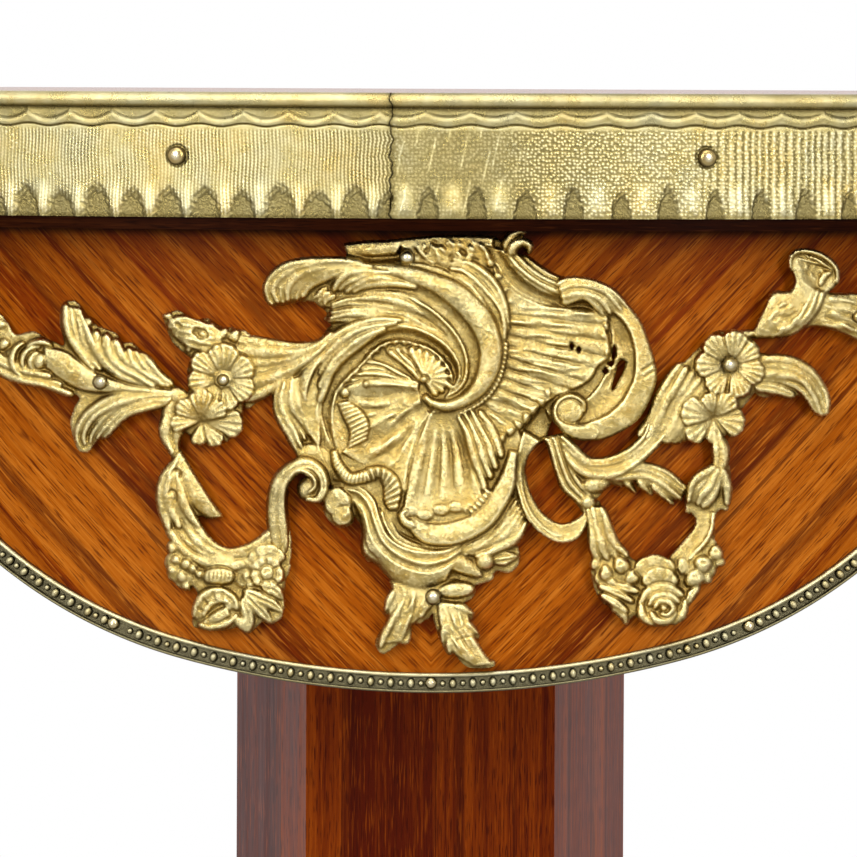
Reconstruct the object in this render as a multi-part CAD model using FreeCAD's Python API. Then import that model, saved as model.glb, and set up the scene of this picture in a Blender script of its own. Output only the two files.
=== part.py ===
"""Half-round (demilune) pedestal table with gilt mounts, as separate solids, in millimetres.

The table stands with its flat back against a wall. +Z is up, the curved front faces -Y, and the
origin lies on the floor under the middle of the overall box. The half circle is struck from a
point on the back plane, and an angle on it is measured from the front centre, positive to the right.
"""
import FreeCAD
import Part

import math
import os

# Overall sizes
TABLE_HEIGHT = 760.0
TOP_RADIUS = 252.0
OVERRUN = 3.0            # how far a cutting shape runs past what it cuts
JOINT_CLEARANCE = 0.1    # gap left round a tenon, dowel, pin or screw
QUARTER_TURN = 90.0
HALF_TURN = 180.0
FULL_TURN = 360.0

# Top: core, veneer and back lipping
TOP_VENEER = 1.0
CROSSBAND_WIDTH = 38.0
BACK_LIPPING = 5.0

# Cast band round the edge of the top
BAND_HEIGHT = 30.0
BAND_THICKNESS = 3.4     # metal behind the flat field
BAND_BEAD_RADIUS = 1.8   # round bead along the upper edge
BAND_BEAD_PROJECTION = 2.2
BAND_COVE_DROP = 3.2     # height of the cove under the bead
BAND_FOOT_TAPER = 0.8    # how far the field leans in at its foot
BAND_SEAM_ANGLE = -2.3   # butt joint of the two castings, a little left of centre
SCALLOP_PITCH = 8.95
SCALLOP_HEIGHT = 6.0
SCALLOP_WIDTH = 4.6
SCALLOP_DEPTH = 1.0
BAND_PIN_STEP_ANGLE = 29.4
BAND_PIN_SHIFT_ANGLE = 0.5
BAND_PIN_HEIGHT_SHARE = 0.47

# Lip under the top
LIP_HEIGHT = 2.9
LIP_SETBACK = 1.4        # behind the face of the band

# Apron
APRON_OVERHANG = 14.0    # the top stands out this far past the apron
APRON_VENEER = 0.9
GLUE_LINE = 0.12         # between the veneer of the apron and its core
APRON_THICKNESS = 18.0
APRON_DROP = 111.0       # depth of the apron at the front centre
FRIEZE_HEIGHT = 36.0     # depth of the apron at the sides
DROP_RADIUS = 240.0      # lower edge: flat middle arc
DROP_MIDDLE_ANGLE = 14.5
SHOULDER_RADIUS = 122.0  # lower edge: tighter arcs beside it
SWEEP_RADIUS = 40.0      # lower edge: hollow arcs that run out to the frieze

# Beaded strip along the lower edge of the apron
STRIP_WIDTH = 4.8
STRIP_BASE = 0.9
STRIP_RAIL_WIDTH = 0.8
STRIP_RAIL_RISE = 0.8
STRIP_PIN_STEP_ANGLE = 18.7

# Round-headed pins
PIN_HEAD_RADIUS = 1.75
PIN_HEAD_RISE = 1.3
PIN_SHANK_RADIUS = 0.8
PIN_BITE = 9.0           # length of shank in the wood
BAND_PIN_HEAD_RADIUS = 2.4

# Frame inside the apron
RAIL_THICKNESS = 12.0
TENON_LENGTH = 10.0
TENON_THICKNESS = 6.0
TENON_HEIGHT = 20.0
BEARER_WIDTH = 96.0
BEARER_THICKNESS = 20.0
BEARER_TENON_WIDTH = 60.0
BEARER_TENON_HEIGHT = 8.0
BLOCK_LENGTH = 34.0
BLOCK_SIDE = 16.0
BLOCK_STEP_ANGLE = 24.0

# Trunk
TRUNK_FRONT_WIDTH = 64.0
TRUNK_BACK_WIDTH = 102.0
TRUNK_DEPTH = 64.0
TRUNK_VENEER = 0.9
BOARD_THICKNESS = 11.0
HEAD_BLOCK_HEIGHT = 80.0
FOOT_BLOCK_HEIGHT = 60.0
GLUE_BLOCK_SIDE = 13.0
GLUE_BLOCK_LENGTH = 70.0

# Plinth and feet
FOOT_HEIGHT = 32.0
FOOT_RADIUS = 23.0
FOOT_NECK_RADIUS = 13.0
FOOT_SOLE_RADIUS = 15.0
FOOT_NECK_HEIGHT = 5.0
SPIGOT_RADIUS = 6.0
SPIGOT_LENGTH = 14.0
BACK_FOOT_INSET = 34.0
FRONT_FOOT_INSET = 32.0
FRONT_FOOT_ANGLE = 30.0
PLINTH_RADIUS = 200.0
PLINTH_THICKNESS = 22.0
PLINTH_EDGE_RADIUS = 7.0
STEP_RADIUS = 166.0
STEP_THICKNESS = 18.0
STEP_COVE_RADIUS = 11.0
PLINTH_STRIP_HEIGHT = 5.6

# Countersunk screws
SCREW_RADIUS = 2.2
SCREW_HEAD_RADIUS = 4.4
SCREW_HEAD_DEPTH = 3.0
SCREW_BITE = 22.0        # length of thread in the second piece
SCREW_SIDE_SPACING = 34.0
SCREW_ROW_SPACING = 60.0
RAIL_SCREW_SPACING = 14.0

# Relief mounts on the apron, drawn on the photograph's pixels
RELIEF_HEIGHT = 10.5
RELIEF_EDGE = 2.0        # thickness of metal at the outline
RELIEF_SINK = 4.0        # extra depth that the fit to the curved apron removes
MOUNT_TOP_GAP = 1.2
MOUNT_FOOT_GAP = 1.2
MOUNT_TOP_PX = 235.0
MOUNT_FOOT_PX = 668.0
MOUNT_CENTRE_PX = 432.0
DISC_EDGE_SHARE = 0.55   # rim height of a flower over its full height
PETAL_NOTCH_SHARE = 0.17
BUTTON_SHARE = 0.22

# Levels and radii worked out from the sizes above
CENTRE_Y = TOP_RADIUS / 2
BAND_FACE_RADIUS = TOP_RADIUS - BAND_BEAD_PROJECTION
CORE_RADIUS = BAND_FACE_RADIUS - BAND_THICKNESS
TOP_UNDERSIDE = TABLE_HEIGHT - BAND_HEIGHT
APRON_TOP = TOP_UNDERSIDE - LIP_HEIGHT
APRON_RADIUS = TOP_RADIUS - APRON_OVERHANG
APRON_VENEER_RADIUS = APRON_RADIUS - APRON_VENEER
APRON_CORE_RADIUS = APRON_VENEER_RADIUS - GLUE_LINE
APRON_INNER_RADIUS = APRON_CORE_RADIUS - APRON_THICKNESS
APRON_BOTTOM = APRON_TOP - APRON_DROP
FRIEZE_BOTTOM = APRON_TOP - FRIEZE_HEIGHT
LIP_RADIUS = BAND_FACE_RADIUS - LIP_SETBACK
RAIL_FRONT_Y = CENTRE_Y - RAIL_THICKNESS
BEARER_BOTTOM = TOP_UNDERSIDE - BEARER_THICKNESS
PLINTH_TOP = FOOT_HEIGHT + PLINTH_THICKNESS
STEP_TOP = PLINTH_TOP + STEP_THICKNESS
TRUNK_FRONT_Y = CENTRE_Y - TRUNK_DEPTH
MM_PER_PX = ((APRON_DROP - STRIP_WIDTH - MOUNT_TOP_GAP - MOUNT_FOOT_GAP)
             / (MOUNT_FOOT_PX - MOUNT_TOP_PX))

Z_AXIS = FreeCAD.Vector(0, 0, 1)


def save(name, shape):
    """Writes one node and prints its solids and volume."""
    shape.exportStep(f"parts/{name}.step")
    print(f"{name}: {len(shape.Solids)} solid(s), {shape.Volume:.1f} mm3, valid {shape.isValid()}")


def outward(angle):
    """Unit vector that points out of the curved front at an angle."""
    turn = math.radians(angle)
    return FreeCAD.Vector(math.sin(turn), -math.cos(turn), 0)


def sideways(angle):
    """Unit vector along the curved front, to the right, at an angle."""
    turn = math.radians(angle)
    return FreeCAD.Vector(math.cos(turn), math.sin(turn), 0)


def on_curve(angle, radius, z):
    """Point at an angle and radius from the middle of the back plane."""
    return FreeCAD.Vector(0, CENTRE_Y, z) + outward(angle) * radius


def facing(angle, radius, z):
    """Placement that turns a shape's +Z to face out of the curved front there."""
    turn = FreeCAD.Rotation(sideways(angle), Z_AXIS, outward(angle), "ZXY")
    return FreeCAD.Placement(on_curve(angle, radius, z), turn)


def sector(radius, low, high, start=-QUARTER_TURN, end=QUARTER_TURN):
    """Solid slice of a round disc about the middle of the back plane, between two angles."""
    disc = Part.makeCylinder(radius, high - low, FreeCAD.Vector(0, 0, low), Z_AXIS, end - start)
    disc.rotate(FreeCAD.Vector(0, 0, 0), Z_AXIS, start - QUARTER_TURN)
    disc.translate(FreeCAD.Vector(0, CENTRE_Y, 0))
    return disc


def ring(inner, outer, low, high, start=-QUARTER_TURN, end=QUARTER_TURN):
    """Curved bar between two radii and two angles."""
    return sector(outer, low, high, start, end).cut(sector(inner, low - OVERRUN, high + OVERRUN))


def block(x0, x1, y0, y1, z0, z1):
    """Box between two corners."""
    return Part.makeBox(x1 - x0, y1 - y0, z1 - z0, FreeCAD.Vector(x0, y0, z0))


def prism(points, low, high):
    """Upright prism on a polygon of (x, y) points."""
    corners = [FreeCAD.Vector(x, y, low) for x, y in points]
    face = Part.Face(Part.makePolygon(corners + corners[:1]))
    return face.extrude(FreeCAD.Vector(0, 0, high - low))


def joined(shapes):
    """One shape that holds several separate solids."""
    return Part.makeCompound(list(shapes))


def revolved(points):
    """Solid turned about the Z axis from a closed outline of (radius, z) points."""
    corners = [FreeCAD.Vector(r, 0, z) for r, z in points]
    face = Part.Face(Part.makePolygon(corners + corners[:1]))
    return face.revolve(FreeCAD.Vector(0, 0, 0), Z_AXIS, FULL_TURN)


def capped(radius, rise, path):
    """Solid turned about the Z axis: a round cap, crowned at z = rise over its rim at z = 0, on a body
    whose outline runs from that rim through (radius, z) points to the axis."""
    sphere = (radius ** 2 + rise ** 2) / (2 * rise)
    middle = math.atan2(radius, sphere - rise) / 2

    def at(r, z):
        return FreeCAD.Vector(r, 0, z)

    shoulder = at(sphere * math.sin(middle), rise - sphere + sphere * math.cos(middle))
    corners = [at(radius, 0)] + [at(r, z) for r, z in path] + [at(0, rise)]
    edges = [Part.Arc(at(0, rise), shoulder, at(radius, 0)).toShape()]
    edges += [Part.makeLine(a, b) for a, b in zip(corners, corners[1:])]
    return Part.Face(Part.Wire(edges)).revolve(at(0, 0), Z_AXIS, FULL_TURN)


def pin(head_radius, shank_length):
    """Round-headed pin that points down -Z, with its head resting on the XY plane."""
    return capped(head_radius, PIN_HEAD_RISE,
                  [(PIN_SHANK_RADIUS, 0), (PIN_SHANK_RADIUS, -shank_length), (0, -shank_length)])


def pin_hole(depth, rise):
    """Cutter for a pin's shank, from above the surface down to a depth."""
    reach = depth + rise
    return Part.makeCylinder(PIN_SHANK_RADIUS + JOINT_CLEARANCE, reach,
                             FreeCAD.Vector(0, 0, rise), -Z_AXIS)


def screw(length):
    """Countersunk screw that points up +Z from its flat head at z = 0."""
    return revolved([(0, 0), (SCREW_HEAD_RADIUS, 0), (SCREW_RADIUS, SCREW_HEAD_DEPTH),
                     (SCREW_RADIUS, length - SCREW_RADIUS), (0, length)])


def screw_hole(length):
    """Cutter for the hole of such a screw, open below its head."""
    gap = JOINT_CLEARANCE
    return revolved([(0, -OVERRUN), (SCREW_HEAD_RADIUS + gap, -OVERRUN), (SCREW_HEAD_RADIUS + gap, 0),
                     (SCREW_RADIUS + gap, SCREW_HEAD_DEPTH), (SCREW_RADIUS + gap, length + gap),
                     (0, length + gap)])


def placed(shape, placement):
    """Copy of a shape moved to a placement."""
    copy = shape.copy()
    copy.Placement = placement.multiply(copy.Placement)
    return copy


# Outline of the apron

def sweep_angle():
    """Angle at which the lower edge turns from its shoulder arcs into the hollow arcs."""
    rise = FRIEZE_BOTTOM - APRON_BOTTOM
    middle = (DROP_RADIUS - SHOULDER_RADIUS) * math.cos(math.radians(DROP_MIDDLE_ANGLE))
    return math.degrees(math.acos((DROP_RADIUS + SWEEP_RADIUS - middle - rise)
                                  / (SHOULDER_RADIUS + SWEEP_RADIUS)))


def lower_edge(inset):
    """Right half of the apron's lower edge, from the centre out, as (centre, radius, start, end)
    arcs in (x, z), moved up into the apron by an inset. Angles run from straight down."""
    turn, sweep = math.radians(DROP_MIDDLE_ANGLE), math.radians(sweep_angle())
    reach = DROP_RADIUS - SHOULDER_RADIUS
    middle = (0.0, APRON_BOTTOM + DROP_RADIUS)
    shoulder = (reach * math.sin(turn), middle[1] - reach * math.cos(turn))
    spread = SHOULDER_RADIUS + SWEEP_RADIUS
    hollow = (shoulder[0] + spread * math.sin(sweep), shoulder[1] - spread * math.cos(sweep))
    return [(middle, DROP_RADIUS - inset, 0.0, turn),
            (shoulder, SHOULDER_RADIUS - inset, turn, sweep),
            (hollow, -(SWEEP_RADIUS + inset), sweep, 0.0)]


def arc_point(arc, angle):
    """Point (x, z) on one arc of the lower edge."""
    centre, radius = arc[0], arc[1]
    return centre[0] + radius * math.sin(angle), centre[1] - radius * math.cos(angle)


def edge_height(x, inset):
    """Height of the lower edge, moved up by an inset, at a distance from the centre."""
    x = abs(x)
    for arc in lower_edge(inset):
        if x <= arc_point(arc, arc[3])[0]:
            (centre_x, centre_z), radius = arc[0], arc[1]
            return centre_z - math.copysign(math.sqrt(radius ** 2 - (x - centre_x) ** 2), radius)
    return FRIEZE_BOTTOM + inset


def apron_prism(inset=0.0):
    """Front elevation of the apron, extruded from front to back, with its lower edge moved up."""
    reach = APRON_RADIUS + STRIP_BASE + STRIP_RAIL_RISE + OVERRUN
    edges = []
    for side in (1, -1):
        for arc in lower_edge(inset):
            places = [arc_point(arc, a) for a in (arc[2], (arc[2] + arc[3]) / 2, arc[3])]
            edges.append(Part.Arc(*[FreeCAD.Vector(side * x, CENTRE_Y, z) for x, z in places]).toShape())
    end_x = arc_point(lower_edge(inset)[-1], 0.0)[0]
    low = FRIEZE_BOTTOM + inset
    outline = [(end_x, low), (reach, low), (reach, APRON_TOP),
               (-reach, APRON_TOP), (-reach, low), (-end_x, low)]
    corners = [FreeCAD.Vector(x, CENTRE_Y, z) for x, z in outline]
    edges += [Part.makeLine(a, b) for a, b in zip(corners, corners[1:])]
    face = Part.Face(Part.Wire(Part.__sortEdges__(edges)))
    return face.extrude(FreeCAD.Vector(0, -reach, 0))


def apron_ring(inner, outer):
    """Half ring as deep as the apron, before its lower edge is shaped."""
    return ring(inner, outer, APRON_BOTTOM - OVERRUN, APRON_TOP)


# Pins on the curved front

def strip_pin_angles():
    """Angles of the pins in the beaded strip, with one at the centre."""
    count = int(QUARTER_TURN / STRIP_PIN_STEP_ANGLE)
    return [STRIP_PIN_STEP_ANGLE * i for i in range(-count, count + 1)]


def strip_pin_places():
    """Placements of the pins in the beaded strip, on the floor of its channel."""
    radius = APRON_RADIUS + STRIP_BASE
    middle = STRIP_WIDTH / 2
    places = []
    for angle in strip_pin_angles():
        x = APRON_RADIUS * math.sin(math.radians(angle))
        places.append(facing(angle, radius, edge_height(x, middle)))
    return places


def band_pin_angles():
    """Angles of the pins in the band, clear of its seam."""
    half = BAND_PIN_STEP_ANGLE / 2
    count = int((QUARTER_TURN - half) / BAND_PIN_STEP_ANGLE) + 1
    return [BAND_PIN_SHIFT_ANGLE + sign * (half + BAND_PIN_STEP_ANGLE * i)
            for i in range(count) for sign in (-1, 1)]


def band_pin_places():
    """Placements of the pins on the field of the band."""
    drop = BAND_HEIGHT * BAND_PIN_HEIGHT_SHARE
    return [facing(a, BAND_FACE_RADIUS, TOP_UNDERSIDE + drop) for a in band_pin_angles()]


MOUNT_PINS_PX = {"cartouche": [(406, 258), (432, 597)], "garland_right": [(731, 363)],
                 "spray_left": [(99, 381)], "spray_right": [(860, 316)], "garland_left": [(222, 381)]}
MOUNT_PIN_HEIGHT_SHARES = {(406, 258): 0.36, (432, 597): 0.5, (731, 363): 0.55,
                           (99, 381): 0.42, (860, 316): 0.36, (222, 381): 0.55}


def mount_pin_places(casting):
    """Placements of the pins of one casting, at the height of the metal that they hold."""
    places = []
    for spot in MOUNT_PINS_PX[casting]:
        angle, z = ornament_place(*spot)
        lift = RELIEF_HEIGHT * MOUNT_PIN_HEIGHT_SHARES[spot]
        places.append(facing(angle, APRON_RADIUS + lift, z))
    return places


def mount_pin_length(placement):
    """Shank length of a mount pin, from under its head to its point in the wood."""
    reach = placement.Base - FreeCAD.Vector(0, CENTRE_Y, placement.Base.z)
    return reach.Length - APRON_RADIUS + PIN_BITE


# Top of the table

def top_core():
    """Half-round core board, with the holes of the pins and screws that end in it."""
    board = sector(CORE_RADIUS, TOP_UNDERSIDE, TABLE_HEIGHT - TOP_VENEER)
    board = board.cut(back_lipping_space())
    for place in band_pin_places():
        board = board.cut(placed(pin_hole(BAND_THICKNESS + PIN_BITE, 0.0), place))
    for hole in bearer_top_screws(screw_hole):
        board = board.cut(hole)
    return board


def back_lipping_space():
    """Space along the back edge of the top that the lipping fills."""
    return block(-CORE_RADIUS, CORE_RADIUS, CENTRE_Y - BACK_LIPPING, CENTRE_Y, TOP_UNDERSIDE, TABLE_HEIGHT)


def back_lipping():
    """Solid strip that closes the back edge of the top."""
    return back_lipping_space().common(sector(CORE_RADIUS, TOP_UNDERSIDE, TABLE_HEIGHT))


def top_crossband():
    """Cross-grained border of the top, round the curve and along the back."""
    low, high = TABLE_HEIGHT - TOP_VENEER, TABLE_HEIGHT
    border = sector(CORE_RADIUS, low, high).cut(back_lipping_space())
    return border.cut(top_field_space())


def top_field_space():
    """Space inside the crossband that the two veneer leaves fill."""
    field = sector(CORE_RADIUS - CROSSBAND_WIDTH, TABLE_HEIGHT - TOP_VENEER, TABLE_HEIGHT)
    back = CENTRE_Y - BACK_LIPPING - CROSSBAND_WIDTH
    return field.cut(block(-CORE_RADIUS, CORE_RADIUS, back, CENTRE_Y + OVERRUN,
                           TABLE_HEIGHT - TOP_VENEER - OVERRUN, TABLE_HEIGHT + OVERRUN))


def top_veneer(side):
    """One of the two matched leaves of the top, right for side 1 and left for side -1."""
    half = block(0, TOP_RADIUS, CENTRE_Y - TOP_RADIUS, CENTRE_Y, APRON_TOP, TABLE_HEIGHT + OVERRUN)
    if side < 0:
        half = half.mirror(FreeCAD.Vector(0, 0, 0), FreeCAD.Vector(1, 0, 0))
    return top_field_space().common(half)


def top_lip():
    """Thin moulding under the edge of the top, over the apron."""
    return ring(APRON_INNER_RADIUS, LIP_RADIUS, APRON_TOP, TOP_UNDERSIDE)


def band_profile():
    """Section of the band in (radius, z): bead, cove and leaning field."""
    top, foot = TABLE_HEIGHT, TOP_UNDERSIDE
    bead_low = top - 2 * BAND_BEAD_RADIUS
    cove_low = bead_low - BAND_COVE_DROP
    bead_in = TOP_RADIUS - BAND_BEAD_RADIUS

    def at(radius, z):
        return FreeCAD.Vector(radius, 0, z)

    cove_mid = at((bead_in + BAND_FACE_RADIUS - BAND_FOOT_TAPER) / 2 - BAND_FOOT_TAPER / 2,
                  (bead_low + cove_low) / 2)
    edges = [Part.makeLine(at(CORE_RADIUS, foot), at(CORE_RADIUS, top)),
             Part.makeLine(at(CORE_RADIUS, top), at(bead_in, top)),
             Part.Arc(at(bead_in, top), at(TOP_RADIUS, top - BAND_BEAD_RADIUS),
                      at(bead_in, bead_low)).toShape(),
             Part.Arc(at(bead_in, bead_low), cove_mid, at(BAND_FACE_RADIUS, cove_low)).toShape(),
             Part.makeLine(at(BAND_FACE_RADIUS, cove_low), at(BAND_FACE_RADIUS - BAND_FOOT_TAPER, foot)),
             Part.makeLine(at(BAND_FACE_RADIUS - BAND_FOOT_TAPER, foot), at(CORE_RADIUS, foot))]
    return Part.Face(Part.Wire(edges))


def scallop():
    """Cutter for one hanging scallop, an upright round-headed scoop that faces +Z when placed."""
    radius = SCALLOP_WIDTH / 2
    shaft = SCALLOP_HEIGHT - radius
    plate = Part.makeBox(SCALLOP_WIDTH, shaft + OVERRUN, SCALLOP_DEPTH + OVERRUN,
                         FreeCAD.Vector(-radius, -OVERRUN, -SCALLOP_DEPTH))
    head = Part.makeCylinder(radius, SCALLOP_DEPTH + OVERRUN, FreeCAD.Vector(0, shaft, -SCALLOP_DEPTH))
    return plate.fuse(head)


def edge_band(start, end):
    """One casting of the band between two angles, with its scallops and pin holes."""
    casting = band_profile().revolve(FreeCAD.Vector(0, 0, 0), Z_AXIS, end - start)
    casting.rotate(FreeCAD.Vector(0, 0, 0), Z_AXIS, start - QUARTER_TURN)
    casting.translate(FreeCAD.Vector(0, CENTRE_Y, 0))
    step = math.degrees(SCALLOP_PITCH / BAND_FACE_RADIUS)
    count = int((end - start) / step)
    margin = ((end - start) - (count - 1) * step) / 2
    face = BAND_FACE_RADIUS - BAND_FOOT_TAPER
    cutters = [placed(scallop(), facing(start + margin + step * i, face, TOP_UNDERSIDE))
               for i in range(count)]
    holes = [placed(pin_hole(BAND_THICKNESS + OVERRUN, OVERRUN), p) for p in band_pin_places()]
    return casting.cut(joined(cutters)).cut(joined(holes))


def band_pins():
    """Round-headed pins that hold the band."""
    shank = BAND_THICKNESS + PIN_BITE
    return joined(placed(pin(BAND_PIN_HEAD_RADIUS, shank), p) for p in band_pin_places())


# Apron

def apron_core():
    """Bent core of the apron, with its mortises and pin holes."""
    core = apron_ring(APRON_INNER_RADIUS, APRON_CORE_RADIUS).common(apron_prism())
    for side in (-1, 1):
        core = core.cut(rail_tenon(side, JOINT_CLEARANCE))
    core = core.cut(bearer_tenon(JOINT_CLEARANCE))
    return core.cut(joined(front_pin_holes()))


def front_pin_holes():
    """Cutters for every pin that is driven into the front of the apron."""
    holes = [placed(pin_hole(STRIP_BASE + PIN_BITE, OVERRUN), p) for p in strip_pin_places()]
    for casting in MOUNT_PINS_PX:
        holes += [placed(pin_hole(mount_pin_length(p), OVERRUN), p) for p in mount_pin_places(casting)]
    return holes


def apron_veneer(side):
    """One of the two mirrored leaves of veneer, right for side 1 and left for side -1."""
    start, end = (0.0, QUARTER_TURN) if side > 0 else (-QUARTER_TURN, 0.0)
    leaf = ring(APRON_VENEER_RADIUS, APRON_RADIUS, APRON_BOTTOM - OVERRUN, APRON_TOP, start, end)
    return leaf.common(apron_prism()).cut(joined(front_pin_holes()))


def bead_strip():
    """Channelled strip along the lower edge; its two rails stand over the floor between them."""
    floor_radius = APRON_RADIUS + STRIP_BASE
    rail_radius = floor_radius + STRIP_RAIL_RISE
    bar = apron_ring(APRON_RADIUS, rail_radius).common(apron_prism().cut(apron_prism(STRIP_WIDTH)))
    channel = apron_prism(STRIP_RAIL_WIDTH).cut(apron_prism(STRIP_WIDTH - STRIP_RAIL_WIDTH))
    bar = bar.cut(apron_ring(floor_radius, rail_radius + OVERRUN).common(channel))
    holes = [placed(pin_hole(STRIP_BASE + OVERRUN, OVERRUN), p) for p in strip_pin_places()]
    return bar.cut(joined(holes))


def strip_pins():
    """Round-headed pins that hold the beaded strip."""
    head = (STRIP_WIDTH - 2 * STRIP_RAIL_WIDTH) / 2 - JOINT_CLEARANCE
    return joined(placed(pin(head, STRIP_BASE + PIN_BITE), p) for p in strip_pin_places())


# Frame inside the apron

def rail_tenon(side, gap):
    """Stub tenon at one end of the back rail, grown by a gap for its mortise."""
    middle_z = (APRON_TOP + FRIEZE_BOTTOM) / 2
    middle_y = CENTRE_Y - RAIL_THICKNESS / 2
    reach = APRON_INNER_RADIUS + TENON_LENGTH + gap
    half_thick, half_high = TENON_THICKNESS / 2 + gap, TENON_HEIGHT / 2 + gap
    root = APRON_INNER_RADIUS - RAIL_THICKNESS
    x0, x1 = (root, reach) if side > 0 else (-reach, -root)
    return block(x0, x1, middle_y - half_thick, middle_y + half_thick,
                 middle_z - half_high, middle_z + half_high)


def back_rail():
    """Straight rail across the back, tenoned into both ends of the apron."""
    rail = block(-APRON_INNER_RADIUS, APRON_INNER_RADIUS, RAIL_FRONT_Y, CENTRE_Y, FRIEZE_BOTTOM, APRON_TOP)
    rail = rail.common(sector(APRON_INNER_RADIUS, FRIEZE_BOTTOM, APRON_TOP))
    rail = rail.fuse([rail_tenon(-1, 0.0), rail_tenon(1, 0.0)]).removeSplitter()
    return rail.cut(joined(rail_screws(screw_hole)))


def bearer_tenon(gap):
    """Tenon at the front of the bearer, grown by a gap for its mortise in the apron."""
    middle_z = (BEARER_BOTTOM + APRON_TOP) / 2
    half_wide, half_high = BEARER_TENON_WIDTH / 2 + gap, BEARER_TENON_HEIGHT / 2 + gap
    front = CENTRE_Y - APRON_INNER_RADIUS
    return block(-half_wide, half_wide, front - TENON_LENGTH - gap, front + BEARER_TENON_WIDTH / 2,
                 middle_z - half_high, middle_z + half_high)


def bearer():
    """Board under the top from the apron back to the rail, which carries the top on the trunk."""
    half = BEARER_WIDTH / 2
    board = block(-half, half, CENTRE_Y - APRON_INNER_RADIUS, RAIL_FRONT_Y, BEARER_BOTTOM, TOP_UNDERSIDE)
    board = board.common(sector(APRON_INNER_RADIUS, BEARER_BOTTOM, TOP_UNDERSIDE))
    board = board.fuse(bearer_tenon(0.0)).removeSplitter()
    return board.cut(joined(bearer_top_screws(screw_hole) + bearer_trunk_screws(screw_hole)))


def bearer_top_screws(maker):
    """Screws, or their holes, that rise through the bearer into the top in two rows."""
    side = SCREW_SIDE_SPACING
    first = TRUNK_FRONT_Y - SCREW_ROW_SPACING / 2
    length = BEARER_THICKNESS + SCREW_BITE
    spots = [(x, first - SCREW_ROW_SPACING * row) for row in range(2) for x in (-side, side)]
    return [moved(maker(length), x, y, BEARER_BOTTOM) for x, y in spots]


def bearer_trunk_screws(maker):
    """Screws, or their holes, that drop through the bearer into the head of the trunk."""
    length = BEARER_THICKNESS + SCREW_BITE
    down = FreeCAD.Rotation(FreeCAD.Vector(1, 0, 0), HALF_TURN)
    middle_y = CENTRE_Y - TRUNK_DEPTH / 2
    spots = [(x, middle_y) for x in (-SCREW_SIDE_SPACING / 2, SCREW_SIDE_SPACING / 2)]
    return [placed(maker(length), FreeCAD.Placement(FreeCAD.Vector(x, y, TOP_UNDERSIDE), down))
            for x, y in spots]


def rail_screws(maker):
    """Screws, or their holes, that run forward through the back rail into the head of the trunk."""
    length = RAIL_THICKNESS + SCREW_BITE
    forward = FreeCAD.Rotation(FreeCAD.Vector(1, 0, 0), QUARTER_TURN)
    z = (FRIEZE_BOTTOM + BEARER_BOTTOM) / 2
    spots = (-RAIL_SCREW_SPACING / 2, RAIL_SCREW_SPACING / 2)
    return [placed(maker(length), FreeCAD.Placement(FreeCAD.Vector(x, CENTRE_Y, z), forward))
            for x in spots]


def moved(shape, x, y, z):
    """Copy of a shape shifted to a point."""
    return placed(shape, FreeCAD.Placement(FreeCAD.Vector(x, y, z), FreeCAD.Rotation()))


def corner_blocks():
    """Glue blocks in the angle between the apron and the top."""
    outer = APRON_INNER_RADIUS
    blocks = []
    for i in range(1, int(QUARTER_TURN / BLOCK_STEP_ANGLE) + 1):
        for side in (-1, 1):
            angle = side * BLOCK_STEP_ANGLE * i
            half = math.degrees(BLOCK_LENGTH / outer) / 2
            blocks.append(ring(outer - BLOCK_SIDE, outer, TOP_UNDERSIDE - BLOCK_SIDE - LIP_HEIGHT,
                               TOP_UNDERSIDE, angle - half, angle + half))
    return joined(blocks)


# Trunk

def trunk_half_width(y, inset=0.0):
    """Half the width of the trunk at a depth, less an inset square to its canted side."""
    lean = (TRUNK_BACK_WIDTH - TRUNK_FRONT_WIDTH) / 2 / TRUNK_DEPTH
    outer = TRUNK_FRONT_WIDTH / 2 + lean * (y - TRUNK_FRONT_Y)
    return outer - inset * math.sqrt(1 + lean ** 2)


def trunk_slice(front, back, inset, low, high):
    """Part of the trunk's section between two depths, as an upright prism."""
    near, far = trunk_half_width(front, inset), trunk_half_width(back, inset)
    return prism([(-near, front), (near, front), (far, back), (-far, back)], low, high)


def trunk_side(side, outer_inset, inner_inset, front, back, low, high):
    """Canted strip on one side of the trunk between two insets."""
    path = [(front, outer_inset), (back, outer_inset), (back, inner_inset), (front, inner_inset)]
    return prism([(side * trunk_half_width(y, inset), y) for y, inset in path], low, high)


TRUNK_CORE_FRONT_Y = TRUNK_FRONT_Y + TRUNK_VENEER
TRUNK_CAVITY_FRONT_Y = TRUNK_CORE_FRONT_Y + BOARD_THICKNESS
TRUNK_SIDE_INSET = TRUNK_VENEER + BOARD_THICKNESS


def trunk_front_veneer():
    """Veneer on the front of the trunk, over the edges of the side veneers."""
    return trunk_slice(TRUNK_FRONT_Y, TRUNK_CORE_FRONT_Y, 0.0, STEP_TOP, BEARER_BOTTOM)


def trunk_front():
    """Front board of the trunk."""
    return trunk_slice(TRUNK_CORE_FRONT_Y, TRUNK_CAVITY_FRONT_Y, TRUNK_VENEER, STEP_TOP, BEARER_BOTTOM)


def trunk_side_board(side):
    """Canted side board of the trunk."""
    return trunk_side(side, TRUNK_VENEER, TRUNK_SIDE_INSET, TRUNK_CAVITY_FRONT_Y, RAIL_FRONT_Y,
                      STEP_TOP, BEARER_BOTTOM)


def trunk_side_veneer(side):
    """Veneer on a canted side of the trunk."""
    return trunk_side(side, 0.0, TRUNK_VENEER, TRUNK_CORE_FRONT_Y, RAIL_FRONT_Y, STEP_TOP, BEARER_BOTTOM)


def trunk_back():
    """Back board of the trunk, up to the underside of the back rail."""
    return trunk_slice(RAIL_FRONT_Y, CENTRE_Y, 0.0, STEP_TOP, FRIEZE_BOTTOM)


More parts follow.
